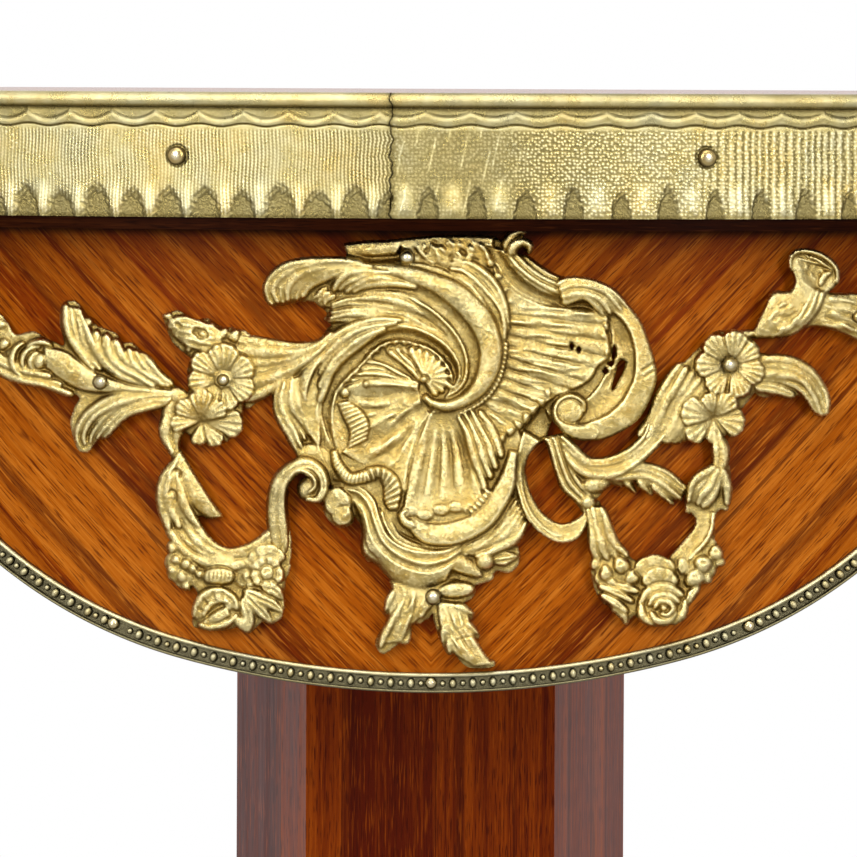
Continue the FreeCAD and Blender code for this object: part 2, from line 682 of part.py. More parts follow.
def trunk_head_block():
    """Solid block inside the head of the trunk, which takes the screws of the bearer and rail."""
    body = trunk_slice(TRUNK_CAVITY_FRONT_Y, RAIL_FRONT_Y, TRUNK_SIDE_INSET,
                       BEARER_BOTTOM - HEAD_BLOCK_HEIGHT, BEARER_BOTTOM)
    return body.cut(joined(bearer_trunk_screws(screw_hole) + rail_screws(screw_hole)))


def trunk_foot_block():
    """Solid block inside the foot of the trunk, which takes the screws of the plinth."""
    body = trunk_slice(TRUNK_CAVITY_FRONT_Y, RAIL_FRONT_Y, TRUNK_SIDE_INSET,
                       STEP_TOP, STEP_TOP + FOOT_BLOCK_HEIGHT)
    return body.cut(joined(plinth_screws(screw_hole)))


def trunk_glue_blocks():
    """Three-sided glue blocks in the two front corners inside the trunk."""
    low, high = STEP_TOP + FOOT_BLOCK_HEIGHT, BEARER_BOTTOM - HEAD_BLOCK_HEIGHT
    count = int((high - low) / (2 * GLUE_BLOCK_LENGTH))
    spacing = (high - low) / count
    front, back = TRUNK_CAVITY_FRONT_Y, TRUNK_CAVITY_FRONT_Y + GLUE_BLOCK_SIDE
    blocks = []
    for i in range(count):
        middle = low + spacing * i + spacing / 2
        for side in (-1, 1):
            corner = side * trunk_half_width(front, TRUNK_SIDE_INSET)
            points = [(corner, front), (corner - side * GLUE_BLOCK_SIDE, front),
                      (side * trunk_half_width(back, TRUNK_SIDE_INSET), back)]
            blocks.append(prism(points, middle - GLUE_BLOCK_LENGTH / 2, middle + GLUE_BLOCK_LENGTH / 2))
    return joined(blocks)


# Plinth

def plinth_screws(maker):
    """Screws, or their holes, that rise through the plinth into the foot of the trunk."""
    length = PLINTH_THICKNESS + STEP_THICKNESS + SCREW_BITE
    middle_y = CENTRE_Y - TRUNK_DEPTH / 2
    spots = (-SCREW_SIDE_SPACING / 2, SCREW_SIDE_SPACING / 2)
    return [moved(maker(length), x, middle_y, FOOT_HEIGHT) for x in spots]


def plinth_step():
    """Upper half-round board of the plinth, with a hollow moulding round its upper edge."""
    board = sector(STEP_RADIUS, PLINTH_TOP, STEP_TOP)
    cove = Part.makeTorus(STEP_RADIUS, STEP_COVE_RADIUS, FreeCAD.Vector(0, CENTRE_Y, STEP_TOP), Z_AXIS)
    return board.cut(cove).cut(joined(plinth_screws(screw_hole)))


def plinth_base():
    """Lower half-round board of the plinth, with a rounded upper edge and sockets for the feet."""
    board = sector(PLINTH_RADIUS, FOOT_HEIGHT, PLINTH_TOP)
    rim = [e for e in board.Edges if abs(e.BoundBox.ZMin - PLINTH_TOP) < JOINT_CLEARANCE
           and abs(e.BoundBox.ZMax - PLINTH_TOP) < JOINT_CLEARANCE and isinstance(e.Curve, Part.Circle)]
    board = board.makeFillet(PLINTH_EDGE_RADIUS, rim)
    sockets = [Part.makeCylinder(SPIGOT_RADIUS + JOINT_CLEARANCE, SPIGOT_LENGTH + JOINT_CLEARANCE, spot)
               for spot in foot_spots()]
    return board.cut(joined(sockets + plinth_screws(screw_hole)))


def plinth_strip():
    """Gilt strip bent round the face of the plinth, with a channel like the apron's strip."""
    low = FOOT_HEIGHT + (PLINTH_THICKNESS - PLINTH_EDGE_RADIUS - PLINTH_STRIP_HEIGHT) / 2
    high = low + PLINTH_STRIP_HEIGHT
    floor_radius = PLINTH_RADIUS + STRIP_BASE
    bar = ring(PLINTH_RADIUS, floor_radius + STRIP_RAIL_RISE, low, high)
    channel = ring(floor_radius, floor_radius + STRIP_RAIL_RISE + OVERRUN,
                   low + STRIP_RAIL_WIDTH, high - STRIP_RAIL_WIDTH)
    return bar.cut(channel)


def foot_spots():
    """Points under the plinth where the four feet stand."""
    back_x = PLINTH_RADIUS - BACK_FOOT_INSET
    spots = [FreeCAD.Vector(side * back_x, CENTRE_Y - BACK_FOOT_INSET, FOOT_HEIGHT) for side in (-1, 1)]
    front = PLINTH_RADIUS - FRONT_FOOT_INSET
    return spots + [on_curve(side * FRONT_FOOT_ANGLE, front, FOOT_HEIGHT) for side in (-1, 1)]


def turned_foot():
    """Bun foot with a neck and a spigot, standing on the XY plane."""
    body_top = FOOT_HEIGHT - FOOT_NECK_HEIGHT

    def at(radius, z):
        return FreeCAD.Vector(radius, 0, z)

    bulge = Part.Arc(at(FOOT_SOLE_RADIUS, 0), at(FOOT_RADIUS, body_top / 2),
                     at(FOOT_NECK_RADIUS, body_top)).toShape()
    path = [at(FOOT_NECK_RADIUS, body_top), at(FOOT_NECK_RADIUS + FOOT_NECK_HEIGHT / 2, FOOT_HEIGHT),
            at(SPIGOT_RADIUS, FOOT_HEIGHT), at(SPIGOT_RADIUS, FOOT_HEIGHT + SPIGOT_LENGTH),
            at(0, FOOT_HEIGHT + SPIGOT_LENGTH), at(0, 0), at(FOOT_SOLE_RADIUS, 0)]
    edges = [bulge] + [Part.makeLine(a, b) for a, b in zip(path, path[1:])]
    return Part.Face(Part.Wire(edges)).revolve(at(0, 0), Z_AXIS, FULL_TURN)


def feet():
    """Four turned feet."""
    return joined(moved(turned_foot(), spot.x, spot.y, 0) for spot in foot_spots())


# Relief castings on the apron

def ornament_place(px, py):
    """Angle and height on the apron of a pixel of the photograph."""
    x = (px - MOUNT_CENTRE_PX) * MM_PER_PX
    z = APRON_TOP - MOUNT_TOP_GAP - (py - MOUNT_TOP_PX) * MM_PER_PX
    return math.degrees(math.asin(x / APRON_RADIUS)), z


def stroke_section(spot, heading, half_width, crown):
    """Closed section of a modelled stroke: upright sides under an arched back."""
    angle, z = ornament_place(*spot)
    out = outward(angle)
    across = sideways(angle) * -heading[1] + Z_AXIS * -heading[0]
    centre = on_curve(angle, APRON_RADIUS, z)
    side = across * (half_width * MM_PER_PX)
    low, edge = out * -RELIEF_SINK, out * RELIEF_EDGE
    a, b, c = centre - side + low, centre - side + edge, centre + out * crown
    d, e = centre + side + edge, centre + side + low
    crest = Part.BezierCurve()
    crest.setPoles([b, c * 2 - (b + d) / 2, d])
    return Part.Wire([Part.makeLine(a, b), crest.toShape(), Part.makeLine(d, e), Part.makeLine(e, a)])


def stroke(spine_px, half_widths_px, crown_shares):
    """Solid of one modelled stroke along a line of pixels, with a width and a height at each point."""
    sections = []
    for i, spot in enumerate(spine_px):
        before, after = spine_px[max(i - 1, 0)], spine_px[min(i + 1, len(spine_px) - 1)]
        run = (after[0] - before[0], after[1] - before[1])
        length = math.hypot(*run)
        heading = (run[0] / length, run[1] / length)
        sections.append(stroke_section(spot, heading, half_widths_px[i], RELIEF_HEIGHT * crown_shares[i]))
    return Part.makeLoft(sections, True)


def flower(centre_px, radius_px, petals, height_share):
    """Dished flower with notched petals and a round button."""
    angle, z = ornament_place(*centre_px)
    radius, height = radius_px * MM_PER_PX, RELIEF_HEIGHT * height_share
    rim, button = height * DISC_EDGE_SHARE, radius * BUTTON_SHARE
    body = revolved([(0, -RELIEF_SINK), (radius, -RELIEF_SINK), (radius, rim * DISC_EDGE_SHARE),
                     (radius * (1 - PETAL_NOTCH_SHARE), rim), (button, rim * DISC_EDGE_SHARE), (0, rim)])
    for i in range(petals):
        turn = 2 * math.pi * i / petals
        spot = FreeCAD.Vector(radius * math.cos(turn), radius * math.sin(turn), -RELIEF_SINK - OVERRUN)
        body = body.cut(Part.makeCylinder(radius * PETAL_NOTCH_SHARE, RELIEF_SINK + height + OVERRUN, spot))
    knob = Part.makeSphere(button, FreeCAD.Vector(0, 0, height - button))
    return placed(body.fuse(knob), facing(angle, APRON_RADIUS, z))


def berry(centre_px, radius_px, height_share):
    """Round fruit or volute boss that stands on the apron."""
    angle, z = ornament_place(*centre_px)
    radius, height = radius_px * MM_PER_PX, RELIEF_HEIGHT * height_share
    foot = -RELIEF_SINK - height / 2
    fruit = capped(radius, height / 2, [(radius, foot), (0, foot)])
    return placed(fruit, facing(angle, APRON_RADIUS + height / 2, z))


# Each stroke: pixels along its line, half widths in pixels, and crown heights as shares of the relief
CARTOUCHE_STROKES_PX_AND_SHARES = {
    "acanthus_head": ([(274, 298), (288, 281), (318, 273), (360, 270), (402, 275), (436, 288)],
                      [7, 15, 17, 14, 13, 12], [0.35, 0.6, 0.7, 0.68, 0.7, 0.75]),
    "spiral_rim": ([(424, 279), (458, 306), (478, 344), (482, 382), (466, 412), (440, 419), (424, 408)],
                   [12, 11, 10, 9, 8, 6, 4], [0.74, 0.8, 0.84, 0.84, 0.8, 0.7, 0.6]),
    "outer_ribbon": ([(326, 314), (368, 300), (408, 302), (440, 322), (460, 352), (464, 382), (450, 402)],
                     [9, 12, 12, 11, 9, 7, 4], [0.45, 0.6, 0.64, 0.66, 0.66, 0.6, 0.5]),
    "inner_ribbon": ([(322, 446), (328, 398), (348, 360), (378, 338), (410, 332), (438, 346), (452, 372)],
                     [13, 13, 12, 11, 9, 8, 5], [0.5, 0.56, 0.6, 0.6, 0.58, 0.54, 0.46]),
    "left_acanthus": ([(340, 322), (312, 342), (295, 372), (289, 408), (297, 442), (318, 466)],
                      [10, 14, 15, 14, 12, 8], [0.5, 0.56, 0.6, 0.58, 0.5, 0.4]),
    "shell_lobe_1": ([(424, 376), (402, 358), (384, 350)], [5, 11, 12], [0.5, 0.5, 0.4]),
    "shell_lobe_2": ([(422, 382), (392, 378), (364, 380)], [5, 13, 16], [0.5, 0.54, 0.46]),
    "shell_lobe_3": ([(424, 390), (390, 408), (356, 420)], [6, 17, 22], [0.5, 0.58, 0.5]),
    "shell_lobe_4": ([(426, 396), (398, 440), (366, 478)], [6, 20, 27], [0.5, 0.62, 0.56]),
    "shell_lobe_5": ([(432, 402), (424, 458), (416, 510)], [6, 20, 26], [0.5, 0.68, 0.6]),
    "shell_lobe_6": ([(440, 404), (456, 456), (468, 506)], [6, 19, 22], [0.5, 0.7, 0.6]),
    "shell_lobe_7": ([(446, 402), (480, 440), (504, 466)], [6, 16, 17], [0.5, 0.64, 0.52]),
    "bottom_rim": ([(406, 518), (420, 536), (446, 545), (480, 535), (506, 508), (518, 474), (523, 442)],
                   [7, 9, 11, 11, 10, 8, 6], [0.6, 0.7, 0.76, 0.76, 0.7, 0.6, 0.5]),
    "lower_scroll": ([(342, 508), (366, 497), (385, 512), (390, 540), (404, 566), (430, 582), (454, 584)],
                     [13, 11, 10, 10, 11, 12, 9], [0.55, 0.55, 0.5, 0.5, 0.56, 0.6, 0.45]),
    "lower_web": ([(400, 536), (428, 560), (470, 560), (508, 540), (524, 528)],
                  [12, 18, 20, 17, 9], [0.4, 0.46, 0.48, 0.46, 0.36]),
    "left_web": ([(312, 440), (326, 474), (350, 500)], [16, 18, 12], [0.4, 0.42, 0.38]),
    "fruit_leaf": ([(450, 590), (482, 572), (508, 560)], [9, 13, 11], [0.4, 0.46, 0.36]),
    "base_leaf_left": ([(430, 590), (411, 610), (397, 632), (383, 650)],
                       [9, 14, 13, 6], [0.42, 0.44, 0.4, 0.3]),
    "base_leaf_right": ([(434, 592), (455, 618), (471, 642), (489, 663)],
                        [10, 16, 14, 6], [0.42, 0.44, 0.4, 0.3]),
    "crest": ([(344, 250), (400, 247), (452, 247), (500, 246), (526, 241)],
              [8, 10, 10, 9, 6], [0.3, 0.34, 0.4, 0.42, 0.4]),
    "right_rim": ([(520, 246), (533, 267), (558, 283), (594, 292), (626, 310), (645, 342), (649, 376),
                   (634, 408), (604, 428), (574, 430)], [6, 7, 8, 9, 10, 10, 10, 10, 10, 9],
                  [0.45, 0.52, 0.58, 0.6, 0.64, 0.64, 0.64, 0.6, 0.6, 0.56]),
    "fan_flute_1": ([(462, 270), (508, 276), (556, 296)], [12, 17, 14], [0.44, 0.48, 0.44]),
    "fan_flute_2": ([(486, 306), (534, 312), (592, 320)], [13, 18, 18], [0.44, 0.5, 0.42]),
    "fan_flute_3": ([(494, 346), (546, 350), (618, 354)], [13, 19, 20], [0.44, 0.52, 0.38]),
    "fan_flute_4": ([(492, 384), (542, 386), (610, 390)], [13, 20, 20], [0.44, 0.5, 0.38]),
    "fan_flute_5": ([(484, 414), (516, 424), (548, 414)], [12, 16, 14], [0.44, 0.5, 0.42]),
    "right_loop": ([(550, 424), (530, 438), (520, 468), (524, 500), (543, 527), (566, 535), (584, 521)],
                   [8, 8, 7, 7, 8, 8, 6], [0.5, 0.5, 0.5, 0.48, 0.46, 0.42, 0.4]),
    "right_stem": ([(548, 430), (560, 456), (578, 478), (600, 494)], [9, 10, 11, 9], [0.5, 0.5, 0.5, 0.44]),
    "right_s_leaf": ([(566, 466), (600, 476), (632, 468), (654, 446), (668, 420)], [9, 11, 12, 13, 13],
                     [0.5, 0.52, 0.52, 0.5, 0.44]),
    "right_tip_leaf": ([(588, 484), (628, 482), (660, 488), (685, 497)],
                       [9, 12, 11, 5], [0.44, 0.46, 0.42, 0.3]),
    "left_arm": ([(318, 350), (290, 354), (262, 352), (244, 347)],
                 [12, 13, 15, 15], [0.46, 0.48, 0.48, 0.44]),
    "left_s_scroll": ([(312, 490), (319, 478), (304, 464), (284, 466), (271, 484), (268, 510), (277, 536)],
                      [7, 9, 10, 11, 10, 9, 9], [0.56, 0.58, 0.56, 0.54, 0.5, 0.46, 0.42]),
}
CARTOUCHE_BERRIES_PX_AND_SHARES = {"right_volute": ((571, 412), 15, 0.7),
                                   "left_knob": ((344, 508), 15, 0.66), "fruit": ((489, 563), 10, 0.6)}
GARLAND_LEFT_STROKES_PX_AND_SHARES = {
    "seed_pod": ([(164, 318), (184, 330), (210, 345), (232, 356)], [6, 14, 15, 14], [0.36, 0.5, 0.5, 0.42]),
    "stem": ([(182, 404), (170, 428), (167, 456), (172, 490), (182, 520)],
             [9, 8, 8, 13, 14], [0.4, 0.4, 0.4, 0.44, 0.44]),
    "pointed_leaf": ([(168, 468), (192, 490), (221, 515)], [7, 10, 2], [0.36, 0.38, 0.24]),
    "festoon": ([(178, 512), (194, 546), (222, 570), (252, 570), (274, 552), (280, 528)],
                [13, 17, 20, 20, 16, 10], [0.44, 0.46, 0.48, 0.48, 0.46, 0.42]),
    "bouquet_leaf_1": ([(244, 586), (262, 598), (281, 611)], [12, 15, 6], [0.4, 0.42, 0.26]),
    "bouquet_leaf_2": ([(238, 594), (250, 612), (262, 630)], [11, 12, 4], [0.4, 0.4, 0.26]),
}
GARLAND_LEFT_FLOWERS_PX_AND_SHARES = {"upper": ((221, 380), 32, 5, 0.68), "lower": ((203, 416), 29, 5, 0.6),
                                      "rose": ((222, 604), 25, 4, 0.66), "small": ((184, 556), 16, 5, 0.56),
                                      "rosette": ((264, 566), 15, 5, 0.62)}
GARLAND_RIGHT_STROKES_PX_AND_SHARES = {
    "inner_leaf": ([(704, 374), (682, 380), (666, 394), (660, 414)],
                   [13, 17, 15, 9], [0.44, 0.46, 0.44, 0.36]),
    "outer_leaf": ([(752, 366), (786, 371), (812, 388), (826, 413)],
                   [12, 15, 13, 5], [0.42, 0.44, 0.42, 0.26]),
    "stem": ([(712, 430), (719, 458), (713, 488), (703, 520), (700, 548)], [9, 13, 15, 13, 14],
             [0.42, 0.44, 0.46, 0.44, 0.44]),
    "festoon": ([(594, 494), (606, 524), (612, 554), (632, 584), (664, 598), (692, 578), (700, 548)],
                [8, 9, 14, 18, 22, 18, 14], [0.42, 0.42, 0.46, 0.48, 0.5, 0.48, 0.44]),
    "thorn_leaf": ([(612, 580), (620, 598), (628, 622)], [12, 12, 3], [0.36, 0.36, 0.24]),
}
GARLAND_RIGHT_FLOWERS_PX_AND_SHARES = {"upper": ((731, 362), 33, 5, 0.68),
                                       "lower": ((704, 412), 29, 5, 0.6),
                                       "rose": ((664, 602), 27, 4, 0.7), "cup": ((654, 572), 17, 4, 0.56)}
GARLAND_RIGHT_BERRIES_PX_AND_SHARES = {"fruit_1": ((608, 570), 9, 0.6), "fruit_2": ((621, 561), 9, 0.62),
                                       "fruit_3": ((704, 563), 11, 0.62), "fruit_4": ((716, 556), 8, 0.52),
                                       "fruit_5": ((694, 578), 9, 0.56)}
SPRAY_LEFT_STROKES_PX_AND_SHARES = {
    "middle_lobe": ([(160, 398), (118, 386), (76, 366), (34, 350), (-8, 338), (-46, 326)],
                    [8, 18, 22, 23, 20, 6], [0.4, 0.42, 0.4, 0.44, 0.42, 0.26]),
    "upper_lobe": ([(156, 394), (120, 366), (94, 336), (69, 309)], [8, 20, 19, 6], [0.4, 0.46, 0.46, 0.28]),
    "lower_lobe": ([(156, 402), (122, 404), (94, 418), (82, 448)], [8, 14, 16, 6], [0.4, 0.44, 0.44, 0.26]),
}
SPRAY_RIGHT_STROKES_PX_AND_SHARES = {
    "inner_lobe": ([(756, 333), (782, 322), (806, 302), (820, 280)],
                   [7, 17, 17, 12], [0.36, 0.44, 0.46, 0.4]),
    "curl": ([(812, 298), (806, 274), (812, 258)], [13, 15, 9], [0.44, 0.5, 0.4]),
    "outer_lobe": ([(792, 314), (836, 314), (880, 322), (928, 336)],
                   [12, 17, 18, 6], [0.4, 0.42, 0.4, 0.26]),
}


def casting(strokes, flowers, berries, neighbours, pin_name):
    """One gilt casting: its modelled forms joined, fitted to the apron and clear of its neighbours."""
    forms = [stroke(*s) for s in strokes.values()]
    forms += [flower(*f) for f in flowers.values()] + [berry(*b) for b in berries.values()]
    apron = sector(APRON_RADIUS, APRON_BOTTOM - OVERRUN, TABLE_HEIGHT)
    body = forms[0].multiFuse(forms[1:]).cut(apron)
    for other in neighbours:
        body = body.cut(other)
    hole = pin_hole(RELIEF_HEIGHT + OVERRUN, RELIEF_HEIGHT)
    body = body.cut(joined(placed(hole, p) for p in mount_pin_places(pin_name)))
    return max(body.Solids, key=lambda solid: solid.Volume)


def mount_pins():
    """Round-headed pins that hold the relief castings."""
    pins = []
    for name in MOUNT_PINS_PX:
        pins += [placed(pin(PIN_HEAD_RADIUS, mount_pin_length(p)), p) for p in mount_pin_places(name)]
    return joined(pins)


def main():
    os.makedirs("parts", exist_ok=True)
    save("top_core", top_core())
    save("top_back_lipping", back_lipping())
    save("top_crossband", top_crossband())
    save("top_veneer_left", top_veneer(-1))
    save("top_veneer_right", top_veneer(1))
    save("top_lip", top_lip())
    save("edge_band_left", edge_band(-QUARTER_TURN, BAND_SEAM_ANGLE))
    save("edge_band_right", edge_band(BAND_SEAM_ANGLE, QUARTER_TURN))
    save("edge_band_pins", band_pins())
    save("apron_core", apron_core())
    save("apron_veneer_left", apron_veneer(-1))
    save("apron_veneer_right", apron_veneer(1))
    save("bead_strip", bead_strip())
    save("bead_strip_pins", strip_pins())
    cartouche = casting(CARTOUCHE_STROKES_PX_AND_SHARES, {}, CARTOUCHE_BERRIES_PX_AND_SHARES,
                        [], "cartouche")
    garland_left = casting(GARLAND_LEFT_STROKES_PX_AND_SHARES, GARLAND_LEFT_FLOWERS_PX_AND_SHARES, {},
                           [cartouche], "garland_left")
    garland_right = casting(GARLAND_RIGHT_STROKES_PX_AND_SHARES, GARLAND_RIGHT_FLOWERS_PX_AND_SHARES,
                            GARLAND_RIGHT_BERRIES_PX_AND_SHARES, [cartouche], "garland_right")
    save("cartouche", cartouche)
    save("garland_left", garland_left)
    save("garland_right", garland_right)
    save("spray_left", casting(SPRAY_LEFT_STROKES_PX_AND_SHARES, {}, {}, [garland_left], "spray_left"))
    save("spray_right", casting(SPRAY_RIGHT_STROKES_PX_AND_SHARES, {}, {}, [garland_right], "spray_right"))
    save("mount_pins", mount_pins())
    save("back_rail", back_rail())
    save("bearer", bearer())
    save("corner_blocks", corner_blocks())
    save("top_screws", joined(bearer_top_screws(screw)))
    save("bearer_screws", joined(bearer_trunk_screws(screw)))
    save("rail_screws", joined(rail_screws(screw)))
    save("trunk_front", trunk_front())
    save("trunk_front_veneer", trunk_front_veneer())
    for name, side in (("left", -1), ("right", 1)):
        save(f"trunk_side_{name}", trunk_side_board(side))
        save(f"trunk_side_veneer_{name}", trunk_side_veneer(side))
    save("trunk_back", trunk_back())
    save("trunk_head_block", trunk_head_block())
    save("trunk_foot_block", trunk_foot_block())
    save("trunk_glue_blocks", trunk_glue_blocks())
    save("plinth_step", plinth_step())
    save("plinth_base", plinth_base())
    save("plinth_strip", plinth_strip())
    save("plinth_screws", joined(plinth_screws(screw)))
    save("feet", feet())


if __name__ == "__main__":
    main()
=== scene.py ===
"""Demilune table with gilt mounts: the dressed model and the photograph's view of it.

Lengths are in metres. Relief is drawn in the photograph's pixels, with heights in millimetres.
"""
import math

import bpy
import numpy as np
from mathutils import Matrix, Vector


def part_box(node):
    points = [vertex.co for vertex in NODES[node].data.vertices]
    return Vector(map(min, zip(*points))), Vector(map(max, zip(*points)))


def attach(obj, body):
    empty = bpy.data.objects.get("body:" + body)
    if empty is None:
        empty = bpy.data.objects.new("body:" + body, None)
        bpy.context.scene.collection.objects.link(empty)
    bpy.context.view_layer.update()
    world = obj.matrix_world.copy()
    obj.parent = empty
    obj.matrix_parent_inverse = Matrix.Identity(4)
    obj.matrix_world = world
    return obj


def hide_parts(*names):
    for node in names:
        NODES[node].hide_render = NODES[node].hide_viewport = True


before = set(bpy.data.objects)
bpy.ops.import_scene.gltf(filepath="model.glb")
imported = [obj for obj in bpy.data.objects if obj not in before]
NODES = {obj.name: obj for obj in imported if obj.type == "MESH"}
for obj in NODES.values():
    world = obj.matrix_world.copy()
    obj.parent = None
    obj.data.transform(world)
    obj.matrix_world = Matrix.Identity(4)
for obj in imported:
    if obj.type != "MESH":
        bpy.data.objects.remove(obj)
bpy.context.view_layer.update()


# Sizes read from the frame

MM = 0.001


def span(*names):
    """Lowest and highest corner over several CAD nodes."""
    boxes = [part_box(name) for name in names]
    return np.min([b[0] for b in boxes], axis=0), np.max([b[1] for b in boxes], axis=0)


apron_lo, apron_hi = span("apron_veneer_left", "apron_veneer_right")
band_lo, band_hi = span("edge_band_left", "edge_band_right")
strip_lo, strip_hi = span("bead_strip")
core_hi = span("top_core")[1]
AXIS_Y = band_hi[1]
APRON_R = apron_hi[0]
BAND_R = band_hi[0]
BAND_BACK_R = core_hi[0] + 0.05 * MM
BAND_TOP, BAND_BOTTOM = band_hi[2], band_lo[2]


# Camera: the photograph's eye, a long way in front and a little above the top

PHOTO = 857
SENSOR_MM = 36.0
EYE_DISTANCE = 2.4
EYE_HEIGHT = BAND_TOP + 0.010
PX = 0.2397 * MM
AXIS_PX = 432.0
APRON_TOP_PX = 230.0
ROLL = math.radians(0.25)

middle = PHOTO / 2
aim_x = (middle - AXIS_PX) * PX
aim_z = apron_hi[2] - (middle - APRON_TOP_PX) * PX
eye = np.array([aim_x, apron_lo[1] - EYE_DISTANCE, EYE_HEIGHT])
tilt = math.atan((EYE_HEIGHT - aim_z) / EYE_DISTANCE)
focal_px = EYE_DISTANCE / PX / math.cos(tilt)
turn = Matrix.Rotation(math.pi / 2 - tilt, 4, "X") @ Matrix.Rotation(ROLL, 4, "Z")

camera_data = bpy.data.cameras.new("camera")
camera_data.sensor_width = SENSOR_MM
camera_data.lens = focal_px * SENSOR_MM / PHOTO
camera_data.clip_end = 50.0
camera = bpy.data.objects.new("camera", camera_data)
camera.matrix_world = Matrix.Translation(eye) @ turn
bpy.context.collection.objects.link(camera)
bpy.context.scene.camera = camera
TO_WORLD = np.array(turn.to_3x3())


def on_drum(px, py, lift):
    """Points of the photograph on the apron's curve, raised by a lift in millimetres."""
    rays = np.stack([(px - middle) / focal_px, (middle - py) / focal_px, -np.ones_like(px)],
                    axis=-1) @ TO_WORLD.T
    radius = APRON_R + np.asarray(lift) * MM
    from_x, from_y = eye[0], eye[1] - AXIS_Y
    flat = rays[..., 0] ** 2 + rays[..., 1] ** 2
    half = from_x * rays[..., 0] + from_y * rays[..., 1]
    root = np.sqrt(half ** 2 - flat * (from_x ** 2 + from_y ** 2 - radius ** 2))
    return eye + rays * ((-half - root) / flat)[..., None]


# Lamps

def soft_box(name, place, target, size, power):
    """Rectangular lamp that faces a point."""
    data = bpy.data.lights.new(name, "AREA")
    data.shape = "RECTANGLE"
    data.size, data.size_y = size
    data.energy = power
    lamp = bpy.data.objects.new(name, data)
    way = Matrix.Translation(place).to_translation() - Matrix.Translation(target).to_translation()
    lamp.matrix_world = Matrix.Translation(place) @ way.to_track_quat("Z", "Y").to_matrix().to_4x4()
    bpy.context.collection.objects.link(lamp)


TARGET = (0.0, apron_lo[1], 0.68)
TALL_BOX = (0.5, 1.3)
BROAD_BOX = (1.6, 1.0)
soft_box("soft_box_left", (-1.35, -2.35, 1.55), TARGET, TALL_BOX, 33.0)
soft_box("soft_box_right", (1.45, -2.35, 1.50), TARGET, TALL_BOX, 30.0)
soft_box("soft_box_over", (0.0, -1.1, 2.6), TARGET, BROAD_BOX, 22.0)


# Node helpers

def add(tree, kind, sockets=None, **settings):
    """New shader node with its settings and sockets."""
    made = tree.nodes.new("ShaderNode" + kind)
    for key, value in settings.items():
        setattr(made, key, value)
    for key, value in (sockets or {}).items():
        if isinstance(value, bpy.types.NodeSocket):
            tree.links.new(value, made.inputs[key])
        else:
            made.inputs[key].default_value = value
    return made


def calc(tree, operation, a, b=0.0):
    """Result of a sum on one or two values."""
    return add(tree, "Math", {0: a, 1: b}, operation=operation).outputs[0]


def noise(tree, vector, scale, detail=2.0, rough=0.5):
    """Noise from 0 to 1, most of it near 0.5."""
    sockets = {"Vector": vector, "Scale": scale, "Detail": detail, "Roughness": rough}
    return add(tree, "TexNoise", sockets).outputs[0]


def remap(tree, value, low, high, to_low=0.0, to_high=1.0):
    """Value carried from one range to another, and held at its ends."""
    return add(tree, "MapRange", {0: value, 1: low, 2: high, 3: to_low, 4: to_high}).outputs[0]


def ramp(tree, value, stops):
    """Colour ramp through (place, (r, g, b)) stops."""
    made = add(tree, "ValToRGB", {0: value})
    points = made.color_ramp.elements
    while len(points) < len(stops):
        points.new(0.5)
    for point, (place, colour) in zip(points, stops):
        point.position = place
        point.color = (*colour, 1.0)
    return made.outputs[0]


def mixed(tree, share, a, b):
    """Mix of two colours."""
    a, b = [c if isinstance(c, bpy.types.NodeSocket) else (*c, 1.0) for c in (a, b)]
    return add(tree, "Mix", {0: share, 6: a, 7: b}, data_type="RGBA").outputs[2]


def new_material(name):
    """Material with an empty principled shader, and its tree."""
    material = bpy.data.materials.new(name)
    material.use_nodes = True
    tree = material.node_tree
    tree.nodes.clear()
    shader = add(tree, "BsdfPrincipled")
    add(tree, "OutputMaterial", {"Surface": shader.outputs[0]})
    return material, tree, shader


def set_sockets(tree, shader, **values):
    """Values or links on a shader's sockets, named with _ for a space."""
    for key, value in values.items():
        socket = shader.inputs[key.replace("_", " ")]
        if isinstance(value, bpy.types.NodeSocket):
            tree.links.new(value, socket)
        else:
            socket.default_value = value


def bump(tree, height, strength, distance):
    """Normal that is bent by a height."""
    return add(tree, "Bump", {"Height": height, "Strength": strength, "Distance": distance}).outputs[0]


# Background: white where it is seen, dimmer as a light

AMBIENT = 0.34
world = bpy.data.worlds.new("studio")
bpy.context.scene.world = world
world.use_nodes = True
sky = world.node_tree
sky.nodes.clear()
path = add(sky, "LightPath").outputs
seen = calc(sky, "MAXIMUM", path["Is Camera Ray"], path["Is Glossy Ray"])
seen = calc(sky, "MAXIMUM", seen, path["Is Transmission Ray"])
level = remap(sky, seen, 0.0, 1.0, AMBIENT, 1.0)
light = add(sky, "Background", {"Color": (1.0, 1.0, 1.0, 1.0), "Strength": level})
add(sky, "OutputWorld", {"Surface": light.outputs[0]})
bpy.context.scene.view_settings.view_transform = "Standard"


# Materials: gilt bronze

PATINA_AND_SHADE_STRENGTH = 0.9


